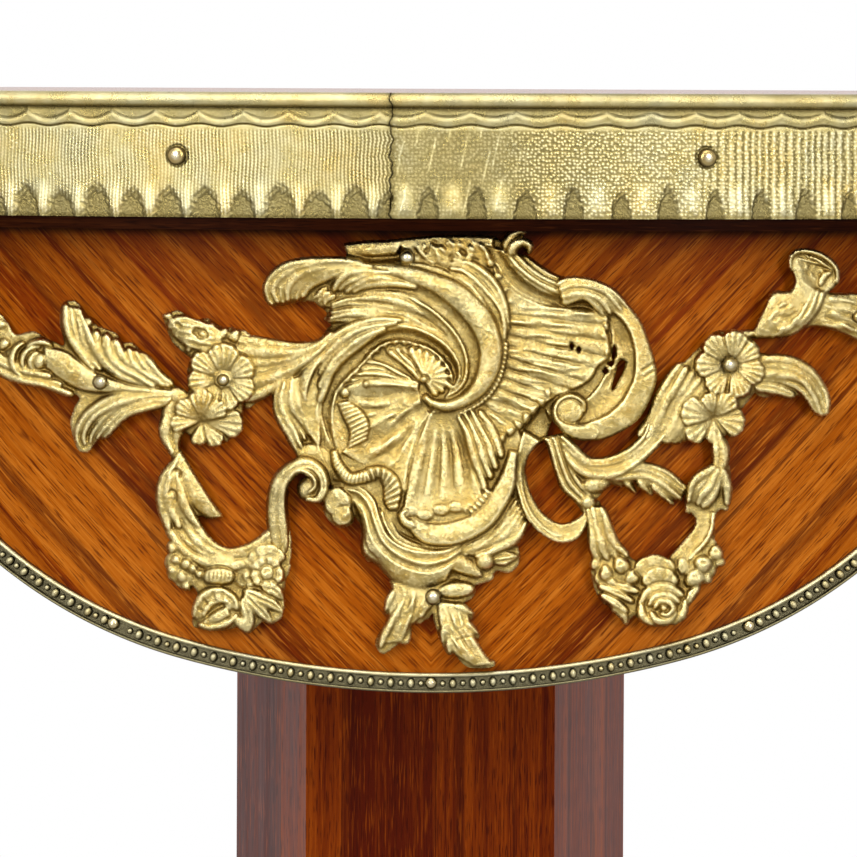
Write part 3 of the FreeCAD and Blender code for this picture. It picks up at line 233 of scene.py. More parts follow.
def gilt(name, gold, pale, deep, rough, grain, wear):
    """Gilt bronze: gold that goes pale where it is rubbed, and brown where patina and painted shade lie."""
    material, tree, shader = new_material(name)
    place = add(tree, "TexCoord").outputs["Object"]
    recess = add(tree, "Attribute", attribute_name="recess").outputs["Fac"]
    clouds = noise(tree, place, 260.0, 4.0, 0.6)
    specks = noise(tree, place, 2600.0, 3.0, 0.6)
    fine = noise(tree, place, 5200.0, 2.0, 0.6)
    slow = noise(tree, place, 85.0, 2.0, 0.5)
    ruddy = (1.10 * gold[0], 0.96 * gold[1], 0.70 * gold[2])
    silvery = (0.84 * gold[0], 0.93 * gold[1], 1.30 * gold[2])
    colour = mixed(tree, remap(tree, slow, 0.50, 0.66, 0.0, 0.8), gold, ruddy)
    colour = mixed(tree, remap(tree, slow, 0.48, 0.34, 0.0, 0.8), colour, silvery)
    colour = mixed(tree, remap(tree, clouds, 0.42, 0.68, 0.0, wear), colour, pale)
    worn = add(tree, "NewGeometry").outputs["Pointiness"]
    colour = mixed(tree, remap(tree, worn, 0.5, 0.58, 0.0, 0.5), colour, pale)
    colour = mixed(tree, remap(tree, recess, 0.0, -0.7, 0.0, 0.75), colour, pale)
    warm = [0.62 * a + 0.38 * b for a, b in zip(deep, gold)]
    # Patina and painted shade from the mesh: warm brown, and deep brown where it is strongest
    speckled_patina_and_shade = calc(tree, "MULTIPLY", recess, remap(tree, specks, 0.25, 0.6, 0.72, 1.0))
    colour = mixed(tree, remap(tree, speckled_patina_and_shade, 0.05, 0.5, 0.0, PATINA_AND_SHADE_STRENGTH), colour, warm)
    colour = mixed(tree, remap(tree, speckled_patina_and_shade, 0.45, 1.0, 0.0, PATINA_AND_SHADE_STRENGTH), colour, deep)
    colour = mixed(tree, remap(tree, specks, 0.62, 0.78, 0.0, 0.12), colour, warm)
    level = calc(tree, "ADD", specks, calc(tree, "MULTIPLY", fine, 0.6))
    set_sockets(tree, shader, Base_Color=colour, Metallic=1.0,
                Roughness=remap(tree, clouds, 0.3, 0.7, rough - 0.05, rough + 0.08),
                Normal=bump(tree, level, 0.45 * grain, 0.00016))
    return material


MOUNT_GILT = gilt("mount_gilt", (0.395, 0.288, 0.086), (0.86, 0.73, 0.37),
                  (0.195, 0.124, 0.031), 0.24, 1.5, 0.3)
BAND_GILT = gilt("band_gilt", (0.42, 0.347, 0.136), (0.88, 0.80, 0.50),
                 (0.075, 0.053, 0.014), 0.28, 1.2, 0.25)
STRIP_GILT = gilt("strip_gilt", (0.34, 0.295, 0.15), (0.74, 0.67, 0.42),
                  (0.013, 0.010, 0.006), 0.33, 1.2, 0.4)
PIN_GILT = gilt("pin_gilt", (0.36, 0.275, 0.112), (0.86, 0.79, 0.56), (0.045, 0.029, 0.009), 0.14, 0.6, 0.2)


# Materials: woods

# Depth and colour of the painted shadow under the lip
LIP_SHADOW_DEPTH = 16 * MM
LIP_SHADOW_EDGE = (0.006, 0.002, 0.0005)


def wood(name, axes, shades, lines, coat=0.02, rough=0.34, gloss=0.025, shade_top=0.0):
    """Wood from four shades, dark to light.

    axes gives the sockets across and along the grain, lines is the strength of the dark lines, and shade_top
    is the height under which the shadow of the lip is painted on the wood.
    """
    material, tree, shader = new_material(name)
    place = add(tree, "TexCoord").outputs["Object"]
    xyz = add(tree, "SeparateXYZ", {0: place}).outputs
    across, along = axes(tree, *xyz)

    def grain(wide, long, seed, detail=2.0, rough=0.5):
        """Noise that is fine across the grain and drawn out along it."""
        sockets = {0: calc(tree, "MULTIPLY", across, wide), 1: calc(tree, "MULTIPLY", along, long), 2: seed}
        return noise(tree, add(tree, "CombineXYZ", sockets).outputs[0], 1.0, detail, rough)

    broad = grain(60.0, 2.5, 1.7, 2.0)
    streak = grain(270.0, 4.0, 4.1, 5.0, 0.66)
    fine = grain(1000.0, 18.0, 8.3, 4.0, 0.7)
    stripe = grain(150.0, 1.6, 13.9, 2.0, 0.55)
    thread = grain(620.0, 2.6, 31.0, 3.0, 0.6)
    pore = grain(2900.0, 150.0, 21.0, 2.0)
    fleck = grain(1900.0, 90.0, 47.0, 2.0)
    tone = calc(tree, "ADD", calc(tree, "MULTIPLY", broad, 0.36), calc(tree, "MULTIPLY", streak, 0.36))
    tone = calc(tree, "ADD", tone, calc(tree, "MULTIPLY", fine, 0.28))
    colour = ramp(tree, tone, [(0.43, shades[1]), (0.51, shades[2]), (0.62, shades[3])])
    dark = remap(tree, stripe, 0.55, 0.64, 0.0, lines)
    broken = calc(tree, "MULTIPLY", dark, remap(tree, fine, 0.38, 0.55, 0.45, 1.0))
    colour = mixed(tree, broken, colour, shades[0])
    colour = mixed(tree, remap(tree, thread, 0.60, 0.66, 0.0, 0.8 * lines), colour, shades[0])
    colour = mixed(tree, remap(tree, fleck, 0.56, 0.68, 0.0, 0.55), colour, shades[3])
    colour = mixed(tree, remap(tree, pore, 0.55, 0.64, 0.0, 0.75), colour, shades[0])
    if shade_top:
        # Painted shadow of the lip: darker towards the top, and near black just under it
        under = remap(tree, xyz[2], shade_top - LIP_SHADOW_DEPTH, shade_top, 0.0, 0.5)
        colour = mixed(tree, under, colour, shades[0])
        close = remap(tree, xyz[2], shade_top - 2.2 * MM, shade_top - 0.4 * MM, 0.0, 0.8)
        colour = mixed(tree, close, colour, LIP_SHADOW_EDGE)
    set_sockets(tree, shader, Base_Color=colour,
                Roughness=remap(tree, fine, 0.3, 0.7, rough - 0.05, rough + 0.08), Specular_IOR_Level=gloss,
                Coat_Weight=coat, Coat_Roughness=0.10, Normal=bump(tree, fine, 0.06, 0.0001))
    return material


def arc_length(tree, x, y):
    """Distance round the apron from the centre line."""
    angle = calc(tree, "ARCTAN2", x, calc(tree, "SUBTRACT", AXIS_Y, y))
    return calc(tree, "MULTIPLY", angle, APRON_R)


def chevron(tree, x, y, z):
    """Book-matched leaves whose grain falls towards the centre line at 45 degrees."""
    aside = calc(tree, "ABSOLUTE", arc_length(tree, x, y))
    return (calc(tree, "MULTIPLY", calc(tree, "SUBTRACT", z, aside), math.sqrt(0.5)),
            calc(tree, "MULTIPLY", calc(tree, "ADD", z, aside), math.sqrt(0.5)))


def book_match(tree, x, y, z):
    """Leaves on the top, matched at the centre line."""
    aside = calc(tree, "ABSOLUTE", x)
    return (calc(tree, "MULTIPLY", calc(tree, "ADD", y, aside), math.sqrt(0.5)),
            calc(tree, "MULTIPLY", calc(tree, "SUBTRACT", y, aside), math.sqrt(0.5)))


def radial(tree, x, y, z):
    """Grain that runs out from the centre of the half circle."""
    deep = calc(tree, "SUBTRACT", AXIS_Y, y)
    square = calc(tree, "ADD", calc(tree, "MULTIPLY", x, x), calc(tree, "MULTIPLY", deep, deep))
    return arc_length(tree, x, y), calc(tree, "SQRT", square)


def round_grain(tree, x, y, z):
    """Grain that runs round the half circle."""
    return z, arc_length(tree, x, y)


def upright(tree, x, y, z):
    """Vertical grain."""
    return calc(tree, "ADD", x, calc(tree, "MULTIPLY", y, 0.7)), z


def lengthwise(tree, x, y, z):
    """Grain along x."""
    return calc(tree, "ADD", z, calc(tree, "MULTIPLY", y, 0.8)), x


KINGWOOD = [(0.066, 0.006, 0.0004), (0.175, 0.025, 0.0004), (0.325, 0.075, 0.002), (0.530, 0.164, 0.014)]
DARKWOOD = [(0.050, 0.004, 0.0003), (0.095, 0.008, 0.0003), (0.210, 0.030, 0.0006), (0.340, 0.064, 0.002)]
LIPWOOD = [(0.006, 0.001, 0.0003), (0.011, 0.0018, 0.0003), (0.019, 0.0035, 0.0006), (0.042, 0.010, 0.002)]
OAK = [(0.15, 0.075, 0.030), (0.25, 0.140, 0.060), (0.35, 0.215, 0.100), (0.44, 0.290, 0.150)]
FIGURED = wood("figured_veneer", chevron, KINGWOOD, 0.85, shade_top=apron_hi[2])
TOP_FIGURED = wood("top_veneer", book_match, KINGWOOD, 0.85, 0.3, 0.2)
CROSSBAND = wood("crossband_veneer", radial, KINGWOOD, 0.6, 0.3, 0.2)
LIP = wood("lip_hardwood", round_grain, LIPWOOD, 0.5, 0.0, 0.34, 0.015)
TRUNK = wood("trunk_veneer", upright, DARKWOOD, 0.8, gloss=0.04)
PLINTH = wood("plinth_hardwood", round_grain, DARKWOOD, 0.5)
LIPPING = wood("lipping_hardwood", lengthwise, DARKWOOD, 0.5)
CARCASE = wood("carcase_oak", lengthwise, OAK, 0.4, 0.0, 0.6, 0.1)
CARCASE_ROUND = wood("carcase_oak_curved", round_grain, OAK, 0.4, 0.0, 0.6, 0.1)


def screw_steel():
    """Dull steel of the screws."""
    material, tree, shader = new_material("screw_steel")
    place = add(tree, "TexCoord").outputs["Object"]
    mark = noise(tree, place, 900.0, 4.0, 0.6)
    colour = ramp(tree, mark, [(0.3, (0.25, 0.24, 0.23)), (0.7, (0.48, 0.47, 0.45))])
    set_sockets(tree, shader, Base_Color=colour, Metallic=1.0,
                Roughness=remap(tree, mark, 0.3, 0.7, 0.3, 0.5), Normal=bump(tree, mark, 0.1, 0.0001))
    return material


STEEL = screw_steel()
FINISHES = (
    (FIGURED, "apron_veneer_left", "apron_veneer_right"),
    (TOP_FIGURED, "top_veneer_left", "top_veneer_right"),
    (CROSSBAND, "top_crossband"),
    (LIPPING, "top_back_lipping"),
    (LIP, "top_lip"),
    (TRUNK, "trunk_front_veneer", "trunk_side_veneer_left", "trunk_side_veneer_right", "trunk_back"),
    (PLINTH, "plinth_step", "plinth_base", "feet"),
    (STRIP_GILT, "plinth_strip"),
    (PIN_GILT, "edge_band_pins", "bead_strip_pins"),
    (CARCASE_ROUND, "apron_core"),
    (STEEL, "top_screws", "bearer_screws", "rail_screws", "plinth_screws"),
)
finish_of = {name: material for material, *names in FINISHES for name in names}
for name, node in NODES.items():
    node.data.materials.clear()
    node.data.materials.append(finish_of.get(name, CARCASE))


# Mesh helpers

class Casting:
    """Closed shells gathered into one mesh, with a value at each point for its patina and painted shade,
    below 0 where it is rubbed pale.
    """

    def __init__(self):
        self.points, self.recess, self.corners, self.counts = [], [], [], []
        self.total = 0

    def add(self, points, recess, faces):
        """Adds one shell. faces holds arrays of corner numbers, a row for each face."""
        for rows in faces:
            self.corners.append((np.asarray(rows) + self.total).ravel())
            self.counts.append(np.full(len(rows), np.shape(rows)[1]))
        self.points.append(points)
        self.recess.append(recess)
        self.total += len(points)

    def build(self, name, material, *nodes, sharp=55.0):
        """Makes the piece, which stands for the CAD nodes given."""
        mesh = bpy.data.meshes.new(name)
        points = np.concatenate(self.points)
        corners, counts = np.concatenate(self.corners), np.concatenate(self.counts)
        mesh.vertices.add(len(points))
        mesh.vertices.foreach_set("co", points.astype(np.float32).ravel())
        mesh.loops.add(len(corners))
        mesh.loops.foreach_set("vertex_index", corners.astype(np.int32))
        mesh.polygons.add(len(counts))
        starts = np.concatenate([[0], np.cumsum(counts)[:-1]])
        mesh.polygons.foreach_set("loop_start", starts.astype(np.int32))
        mesh.update(calc_edges=True)
        mesh.polygons.foreach_set("use_smooth", np.ones(len(counts), bool))
        value = mesh.attributes.new("recess", "FLOAT", "POINT")
        value.data.foreach_set("value", np.concatenate(self.recess).astype(np.float32))
        mesh.set_sharp_from_angle(angle=math.radians(sharp))
        mesh.materials.append(material)
        piece = bpy.data.objects.new(name, mesh)
        bpy.context.collection.objects.link(piece)
        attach(piece, "root")
        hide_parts(*nodes)


def sweep_faces(rows, columns):
    """Quads of a tube of rows of closed loops, and its two end faces."""
    i, j = np.meshgrid(np.arange(rows - 1), np.arange(columns), indexing="ij")
    nxt = (j + 1) % columns
    here, after = i * columns, (i + 1) * columns
    quads = np.stack([here + j, here + nxt, after + nxt, after + j], axis=-1)
    first = np.arange(columns)[::-1][None]
    last = (np.arange(columns) + (rows - 1) * columns)[None]
    return [quads.reshape(-1, 4), first, last]


def on_circle(angle, radius, z):
    """Points at angles from the centre line, on a circle round the back of the table."""
    angle, radius, z = np.broadcast_arrays(angle, radius, z)
    return np.stack([radius * np.sin(angle), AXIS_Y - radius * np.cos(angle), z], axis=-1)


def smooth(value, low, high):
    """Goes from 0 to 1 between two values."""
    x = np.clip((value - low) / (high - low), 0.0, 1.0)
    return x * x * (3 - 2 * x)


# Cast band round the top

BAND_FACE_R = BAND_R - 2.2 * MM
TORUS = 1.8 * MM
SEAM_ANGLE = math.radians(-2.3)
WAVE_PITCH_MM = 10.9
FILLET_DROP_MM = 3.75
PIN_DROP_MM = 15.3
ARCH_FOOT_MM = 30.0
BAND_COLUMN = 0.205 * MM
BAND_ROWS = 128
BEAD_ROWS = 13
BAND_PINS = np.radians(0.5 + 29.4 * (np.arange(-3, 3) + 0.5))


def punched(way, drop, pitch):
    """Round punch marks, one in each cell of a grid and a little off its middle."""
    u, v = np.broadcast_arrays(way / pitch, drop / pitch)
    i, j = np.floor(u), np.floor(v)
    a, b = np.sin(12.9 * i + 78.2 * j) * 437.585, np.sin(39.3 * i + 11.1 * j) * 246.346
    a, b = a - np.floor(a), b - np.floor(b)
    return np.exp(-((u - i - 0.18 - 0.64 * a) ** 2 + (v - j - 0.18 - 0.64 * b) ** 2) / 0.085)


def chasing(way, drop, worn):
    """Punched texture of the field in mm: rows of dots, and past the seam a worn part and stipple."""
    row = way / 0.89 + 0.22 * np.sin(0.21 * way) + 0.16 * np.sin(0.5 * drop + 0.07 * way)
    ridge = np.cos(2 * np.pi * row)
    dots = np.cos(2 * np.pi * (drop / 0.80 + 0.5 * np.floor(row) + 0.2 * np.sin(1.9 * row)))
    lines = 0.075 * ridge + 0.085 * dots * (0.5 + 0.5 * ridge)
    if not worn:
        return lines * (0.78 + 0.3 * np.sin(0.13 * way + 0.2 * drop) * np.sin(0.31 * way))
    stipple = 2 * punched(way, drop, 0.92) - 0.45
    wide_row = way / 1.9 + 0.2 * np.sin(0.4 * way) + 0.05 * np.sin(0.6 * drop)
    broad = 0.07 * np.cos(2 * np.pi * wide_row) + 0.06 * stipple
    slant = (way + 0.22 * drop) / 1.5
    scratch = 0.075 * np.exp(-((slant - np.round(slant)) / 0.13) ** 2) * (np.sin(3.7 * np.round(slant)) > 0.0)
    scratch = scratch * smooth(np.sin(0.35 * drop + 1.3 * np.round(slant)), -0.2, 0.5)
    plain, rows = smooth(way, 12.0, 30.0), smooth(way, 56.0, 78.0)
    return (1 - plain) * (scratch + 0.03 * stipple) + plain * (1 - rows) * 0.10 * stipple + rows * broad


def wavy_fillet(way, drop, worn):
    """Open hollows under the bead, the chased wave line below them, and the ribbon between."""
    part = (way / WAVE_PITCH_MM + 0.18) % 1.0
    bow = 1 - (2 * part - 1) ** 2
    edge = 4.5 + (1.3 if worn else 1.9) * bow
    hollow = (1 - smooth(drop, edge - 0.7, edge + 0.5)) * (0.45 + 0.55 * bow)
    wave = 0.5 - 0.5 * np.cos(2 * np.pi * part)
    line = np.exp(-((drop - 7.95 - 0.7 * (wave - 0.5)) / (0.27 if worn else 0.21)) ** 2)
    ribbon = np.exp(-((drop - edge - 1.0) / 0.8) ** 2)
    return hollow, line, ribbon


def arches(way, drop, pitch, arch_width, shift):
    """Rough arches along the lower edge, the ripples in them, and the tongues between them."""
    place = (way / pitch + shift) % 1.0
    nth = np.floor(way / pitch + shift)
    aside = (place - 0.5) * pitch / (arch_width / 2 * (1 + 0.10 * np.sin(4.1 * nth)))
    up = (ARCH_FOOT_MM - drop) / (7.0 + 0.8 * np.sin(2.7 * nth))
    ragged = 0.13 * np.sin(2.9 * way + 1.7 * np.sin(1.3 * drop)) * np.sin(2.3 * drop + 0.7 * way)
    inside = np.clip(1 - np.abs(aside) ** 1.9 - np.clip(up, 0, 2) ** 1.7 + ragged, -1, 1)
    rings = 2 * np.pi * 5.2 * np.sqrt(np.clip(1 - inside, 0, 4)) + 1.5 * np.sin(1.1 * way)
    gap = pitch / arch_width
    tongue = smooth(drop, 20.5, 25.0) * np.exp(-((np.abs(aside) - gap) / (0.30 * gap)) ** 2)
    tongue = tongue * (1 - smooth(drop, 27.6, 29.8))
    return smooth(inside, -0.22, 0.5), 0.5 + 0.5 * np.cos(rings), tongue


def band_relief(way, drop, pitch, arch_width, shift, worn):
    """Raised (+) or sunk (-) height in mm on the face of the band, and its value of patina and painted shade.

    way is the distance along the band and drop the depth below its top, in metres. pitch and arch_width are
    those of the arches along the lower edge in mm, and shift moves them along.
    """
    angle = way / BAND_FACE_R
    way, drop = way / MM, drop / MM
    hollow, line, ribbon = wavy_fillet(way, drop, worn)
    arch, ripple, tongue = arches(way, drop, pitch, arch_width, shift)
    field = smooth(drop, 8.6, 9.4) * (1 - arch) * (1 - 0.7 * smooth(drop, 28.6, 29.6))
    texture = chasing(way, drop, worn) * field
    height = -0.5 * hollow - 0.34 * line + 0.2 * ribbon
    height = height + (-0.66 * arch - 0.13 * arch * ripple + 0.42 * tongue + texture)
    # Painted shade in the hollows under the bead, patina and painted shade in the chased line and the arches,
    # and the chasing darker in its low parts and rubbed pale on its ridges and tongues
    recess = 0.34 * hollow + 0.95 * line + arch * (0.40 + 0.26 * ripple)
    recess = recess + np.clip(0.015 - texture, 0, 0.12) * (7.6 if worn else 7.0)
    recess = recess - np.clip(texture - 0.03, 0, 0.08) * (8.5 if worn else 9.0) - 0.6 * tongue
    # Painted shade across the middle of the field
    recess = recess + 0.36 * field * np.exp(-((way - 8.0) / 34.0) ** 2)
    for pin in BAND_PINS:
        away = np.hypot((angle - pin) * BAND_FACE_R / MM, drop - PIN_DROP_MM)
        ring = np.exp(-((away - 2.5) / 0.32) ** 2)
        height = height - 0.22 * ring
        # Painted shadow in a ring round each pin
        recess = recess + 0.9 * ring
    # Painted shade in the groove under the bead and along the lower edge
    groove = np.exp(-((drop - FILLET_DROP_MM) / 0.5) ** 2)
    recess = np.clip(recess + 0.9 * groove + 0.45 * smooth(drop, 28.8, ARCH_FOOT_MM), -1, 1)
    return height, recess


def edge_band(name, start, end, pitch, arch_width, shift, node, worn):
    """Half of the band: bead at the top, wavy fillet, chased field and arched lower edge."""
    columns = int((end - start) * BAND_FACE_R / BAND_COLUMN)
    angle = np.linspace(start, end, columns)[:, None]
    turn_of = np.radians(np.linspace(90, -75, BEAD_ROWS))
    bead_r = BAND_R - TORUS + TORUS * np.cos(turn_of)
    bead_z = BAND_TOP - TORUS + TORUS * np.sin(turn_of)
    face_z = np.linspace(BAND_TOP - FILLET_DROP_MM * MM, BAND_BOTTOM, BAND_ROWS)
    face_r = np.full(len(face_z), BAND_FACE_R)
    radius = np.concatenate([[BAND_BACK_R], bead_r, face_r, [BAND_BACK_R]])
    height = np.concatenate([[BAND_TOP], bead_z, face_z, [BAND_BOTTOM]])
    on_face = np.concatenate([np.zeros(len(bead_r) + 1), np.ones(len(face_z)), [0.0]])
    lift, recess = band_relief(angle * BAND_FACE_R, BAND_TOP - height[None], pitch, arch_width, shift, worn)
    radius = radius[None] + lift * MM * on_face
    # Painted shade under the bead and on its back edge; on top of the bead, painted shade that grows to the
    # right and a painted highlight to the left, mottled
    under = smooth(turn_of, np.radians(-20), np.radians(-75))
    shaded = np.concatenate([[0.0], 0.9 * under, np.zeros(len(face_z)), [0.6]])
    way = angle * BAND_FACE_R / MM
    bead_top_light_and_shade = 0.34 * smooth(way, -70.0, 20.0) + 0.16 * np.sin(0.09 * way) * np.sin(0.23 * way + 1.0) - 0.12
    over = smooth(turn_of, np.radians(-30), np.radians(40))
    bead_top_light_and_shade = bead_top_light_and_shade * np.concatenate([[0.0], over, np.zeros(len(face_z)), [0.0]])
    recess = np.clip(recess * on_face + shaded + bead_top_light_and_shade, -1, 1)
    from_seam = np.abs(angle - SEAM_ANGLE) * BAND_FACE_R
    near = np.exp(-from_seam / (3 * MM))
    waver = 0.35 * np.sin(height[None] / MM * 0.9) + 0.2 * np.sin(height[None] / MM * 2.3 + 1.0)
    bent = angle + near * waver * MM / BAND_FACE_R
    recess = np.clip(recess + 0.8 * np.exp(-from_seam / (0.5 * MM)), -1, 1)
    points = on_circle(bent, radius, np.broadcast_to(height, radius.shape))
    cast = Casting()
    cast.add(points.reshape(-1, 3), np.broadcast_to(recess, radius.shape).ravel(),
             sweep_faces(*radius.shape))
    cast.build(name, BAND_GILT, node)


SEAM_GAP = 0.12 * MM / BAND_FACE_R
edge_band("band_left", -math.pi / 2, SEAM_ANGLE - SEAM_GAP, 9.1, 7.6, 0.54, "edge_band_left", False)
edge_band("band_right", SEAM_ANGLE + SEAM_GAP, math.pi / 2, 11.6, 5.2, 0.60, "edge_band_right", True)


# Beaded strip along the lower edge of the apron

STRIP_WIDTH = 4.8 * MM
STRIP_SECTION_MM = [(0.0, 0.0), (0.0, 1.35), (0.12, 1.6), (0.35, 1.7), (0.58, 1.6), (0.68, 1.2),
                    (0.74, 0.5), (3.72, 0.5), (3.78, 1.2), (3.9, 1.6), (4.25, 1.75), (4.6, 1.6),
                    (4.8, 1.3), (4.8, 0.0)]
# Patina and painted shade across the strip's section: near black on the floor between the rails, darker on
# the lower rail, and the upper rail's crest rubbed pale
STRIP_PATINA_AND_SHADE = [0.9, 0.8, 0.6, 0.5, 0.55, 0.9, 0.8, 0.8, 1.0, 0.1, -0.6, -0.1, 0.2, 0.7]
BEAD_OFF = 2.25 * MM
BEAD_STEP = 2.44 * MM
BEAD_FLOOR = 0.45 * MM
TALL_BEAD_MM = (1.34, 1.0, 1.55)
SMALL_BEAD_MM = (0.82, 0.78, 1.1)
PIN_ROOM = 2.3 * MM
PIN_GAP = 4 * MM
LINE_STEP = 0.4 * MM
FRIEZE_STEPS = 300
DROP_R, SHOULDER_R, SWEEP_R = 240.0 * MM, 122.0 * MM, 40.0 * MM
DROP_END = math.radians(14.5)
FRIEZE_BOTTOM = strip_hi[2] - STRIP_WIDTH
APRON_BOTTOM = strip_lo[2]


def strip_line():
    """Right half of the lower edge as (x, z, inward x, inward z), from the centre out."""
    reach = DROP_R - SHOULDER_R
    shoulder = np.array([reach * math.sin(DROP_END), APRON_BOTTOM + DROP_R - reach * math.cos(DROP_END)])
    spread = SHOULDER_R + SWEEP_R
    sweep = math.acos((shoulder[1] - FRIEZE_BOTTOM + SWEEP_R) / spread)
    hollow = shoulder + spread * np.array([math.sin(sweep), -math.cos(sweep)])
    line = []
    middle_drop = np.array([0.0, APRON_BOTTOM + DROP_R])
    for centre, radius, start, end in ((middle_drop, DROP_R, 0.0, DROP_END),
                                       (shoulder, SHOULDER_R, DROP_END, sweep),
                                       (hollow, -SWEEP_R, sweep, 0.0)):
        for a in np.linspace(start, end, int(abs(radius * (end - start)) / LINE_STEP))[:-1]:
            way = np.array([math.sin(a), -math.cos(a)])
            line.append([*(centre + radius * way), *(-way)])
    for a in np.linspace(math.asin(hollow[0] / APRON_R), math.pi / 2, FRIEZE_STEPS):
        line.append([APRON_R * math.sin(a), FRIEZE_BOTTOM, 0.0, 1.0])
    return np.array(line)


def bead_strip():
    """Strip with a rail each side and a row of beads, tall and small by turns."""
    half = strip_line()
    left = half[:0:-1] * np.array([-1, 1, -1, 1])
    line = np.concatenate([left, half])
    section = np.array(STRIP_SECTION_MM) * MM

    def place(rows, off, rise):
        """Points beside a row of the line, at offsets into the apron and rises over its face."""
        x = line[rows, 0][:, None] + line[rows, 2][:, None] * off
        z = line[rows, 1][:, None] + line[rows, 3][:, None] * off
        return on_circle(np.arcsin(np.clip(x / APRON_R, -1, 1)), APRON_R + rise, z)

    cast = Casting()
    rows = np.arange(len(line))
    points = place(rows, section[None, :, 0], section[None, :, 1])
    cast.add(points.reshape(-1, 3), np.tile(STRIP_PATINA_AND_SHADE, len(rows)), sweep_faces(len(rows), len(section)))
    solid = on_circle(np.arcsin(np.clip(line[:, 0] / APRON_R, -1, 1)), APRON_R, line[:, 1])
    far = np.concatenate([[0.0], np.cumsum(np.linalg.norm(np.diff(solid, axis=0), axis=1))])
    middle_far = far[len(left)]
    for k in range(-int(middle_far / BEAD_STEP) + 1, int((far[-1] - middle_far) / BEAD_STEP)):
        row = np.searchsorted(far, middle_far + k * BEAD_STEP)
        ahead = line[min(row + 3, len(line) - 1)] - line[max(row - 3, 0)]
        along = ahead[:2] / np.linalg.norm(ahead[:2])
        if not near_strip_pin(line[row, 0] + line[row, 2] * BEAD_OFF):
            across, wide, rise = TALL_BEAD_MM if k % 2 == 0 else SMALL_BEAD_MM
            bead(cast, line[row], along, across * MM, wide * MM, rise * MM)
    cast.build("bead_strip_beads", STRIP_GILT, "bead_strip", sharp=40.0)


def pin_angles(name):
    """Angles round the apron of the pins in a node, from the gaps between their points."""
    node = NODES[name]
    points = [node.matrix_world @ corner.co for corner in node.data.vertices]
    angles = np.sort([math.atan2(point.x, AXIS_Y - point.y) for point in points])
    gaps = np.flatnonzero(np.diff(angles) > PIN_GAP / APRON_R) + 1
    return [group.mean() for group in np.split(angles, gaps)]


def near_strip_pin(x):
    """True where a pin's head takes the place of a bead."""
    angle = math.asin(max(-1.0, min(1.0, x / APRON_R)))
    return min(abs(angle - pin) for pin in STRIP_PINS) * APRON_R < PIN_ROOM


def bead(cast, row, along, across, wide, rise):
    """One bead of the strip: half an egg on the strip's floor."""
    rings, sides = 6, 14
    tilt_of = np.linspace(0.02, math.pi / 2, rings)[:, None]
    around = np.linspace(0, 2 * math.pi, sides, endpoint=False)[None]
    out = np.sin(tilt_of)
    u, v = out * np.cos(around) * wide, out * np.sin(around) * across
    x = row[0] + row[2] * BEAD_OFF + u * along[0] + v * row[2]
    z = row[1] + row[3] * BEAD_OFF + u * along[1] + v * row[3]
    lift = BEAD_FLOOR + rise * np.cos(tilt_of) + 0 * u
    points = on_circle(np.arcsin(np.clip(x / APRON_R, -1, 1)), APRON_R + lift, z)
    # Painted shade round the foot of each bead, and its top rubbed a little pale
    recess = np.broadcast_to(smooth(out, 0.72, 0.95) - 0.3 * smooth(out, 0.6, 0.2), u.shape)
    cast.add(points.reshape(-1, 3), recess.ravel(), sweep_faces(rings, sides))


STRIP_PINS = pin_angles("bead_strip_pins")
bead_strip()


# Relief: the forms of a casting are laid on a field of heights, in the photograph's pixels

CELL_PX = 0.5
FACET_CELLS = 2
SAMPLE_PX = 0.34
CURVE_STEPS = 24
MM_PER_PX = PX / MM
FOOT_LIFT = -0.15
SOFTEN_PX = 0.8
GRAIN_PX = (3.2, 0.9)
GRAIN_MM = (0.03, 0.034)


def curve(points, count):
    """Smooth line through some points, as evenly spaced places."""
    p = np.asarray(points, float)
    q = np.vstack([2 * p[0] - p[1], p, 2 * p[-1] - p[-2]])
    u = np.linspace(0, 1, CURVE_STEPS, endpoint=False)[:, None]

    def between(a, b, c, d):
        """Part of the line from b to c."""
        square, cube = 2 * a - 5 * b + 4 * c - d, 3 * b - a - 3 * c + d
        return 0.5 * (2 * b + (c - a) * u + square * u ** 2 + cube * u ** 3)

    line = np.vstack([between(*four) for four in zip(q, q[1:], q[2:], q[3:])] + [p[-1:]])
    far = np.concatenate([[0.0], np.cumsum(np.hypot(*np.diff(line, axis=0).T))])
    even = np.linspace(0, far[-1], count)
    return np.stack([np.interp(even, far, line[:, k]) for k in (0, 1)], axis=1)


def run_length(points):
    """Length of a line of points."""
    return float(np.sum(np.hypot(*np.diff(np.asarray(points, float), axis=0).T)))


def table(values, t):
    """Values spread evenly over 0 to 1, read at t."""
    return np.interp(t, np.linspace(0, 1, len(values)), values)


def blur(field, sigma):
    """Gaussian blur of a field, by a radius in pixels."""
    rows, columns = field.shape
    spread = -2 * (np.pi * sigma / CELL_PX) ** 2
    damp = np.exp(spread * (np.fft.fftfreq(rows)[:, None] ** 2 + np.fft.rfftfreq(columns)[None] ** 2))
    return np.fft.irfft2(np.fft.rfft2(field) * damp, s=field.shape)


def four_beside(field):
    """Sum of the four neighbours of each cell."""
    return sum(np.roll(field, step, axis) for step in (-1, 1) for axis in (0, 1))


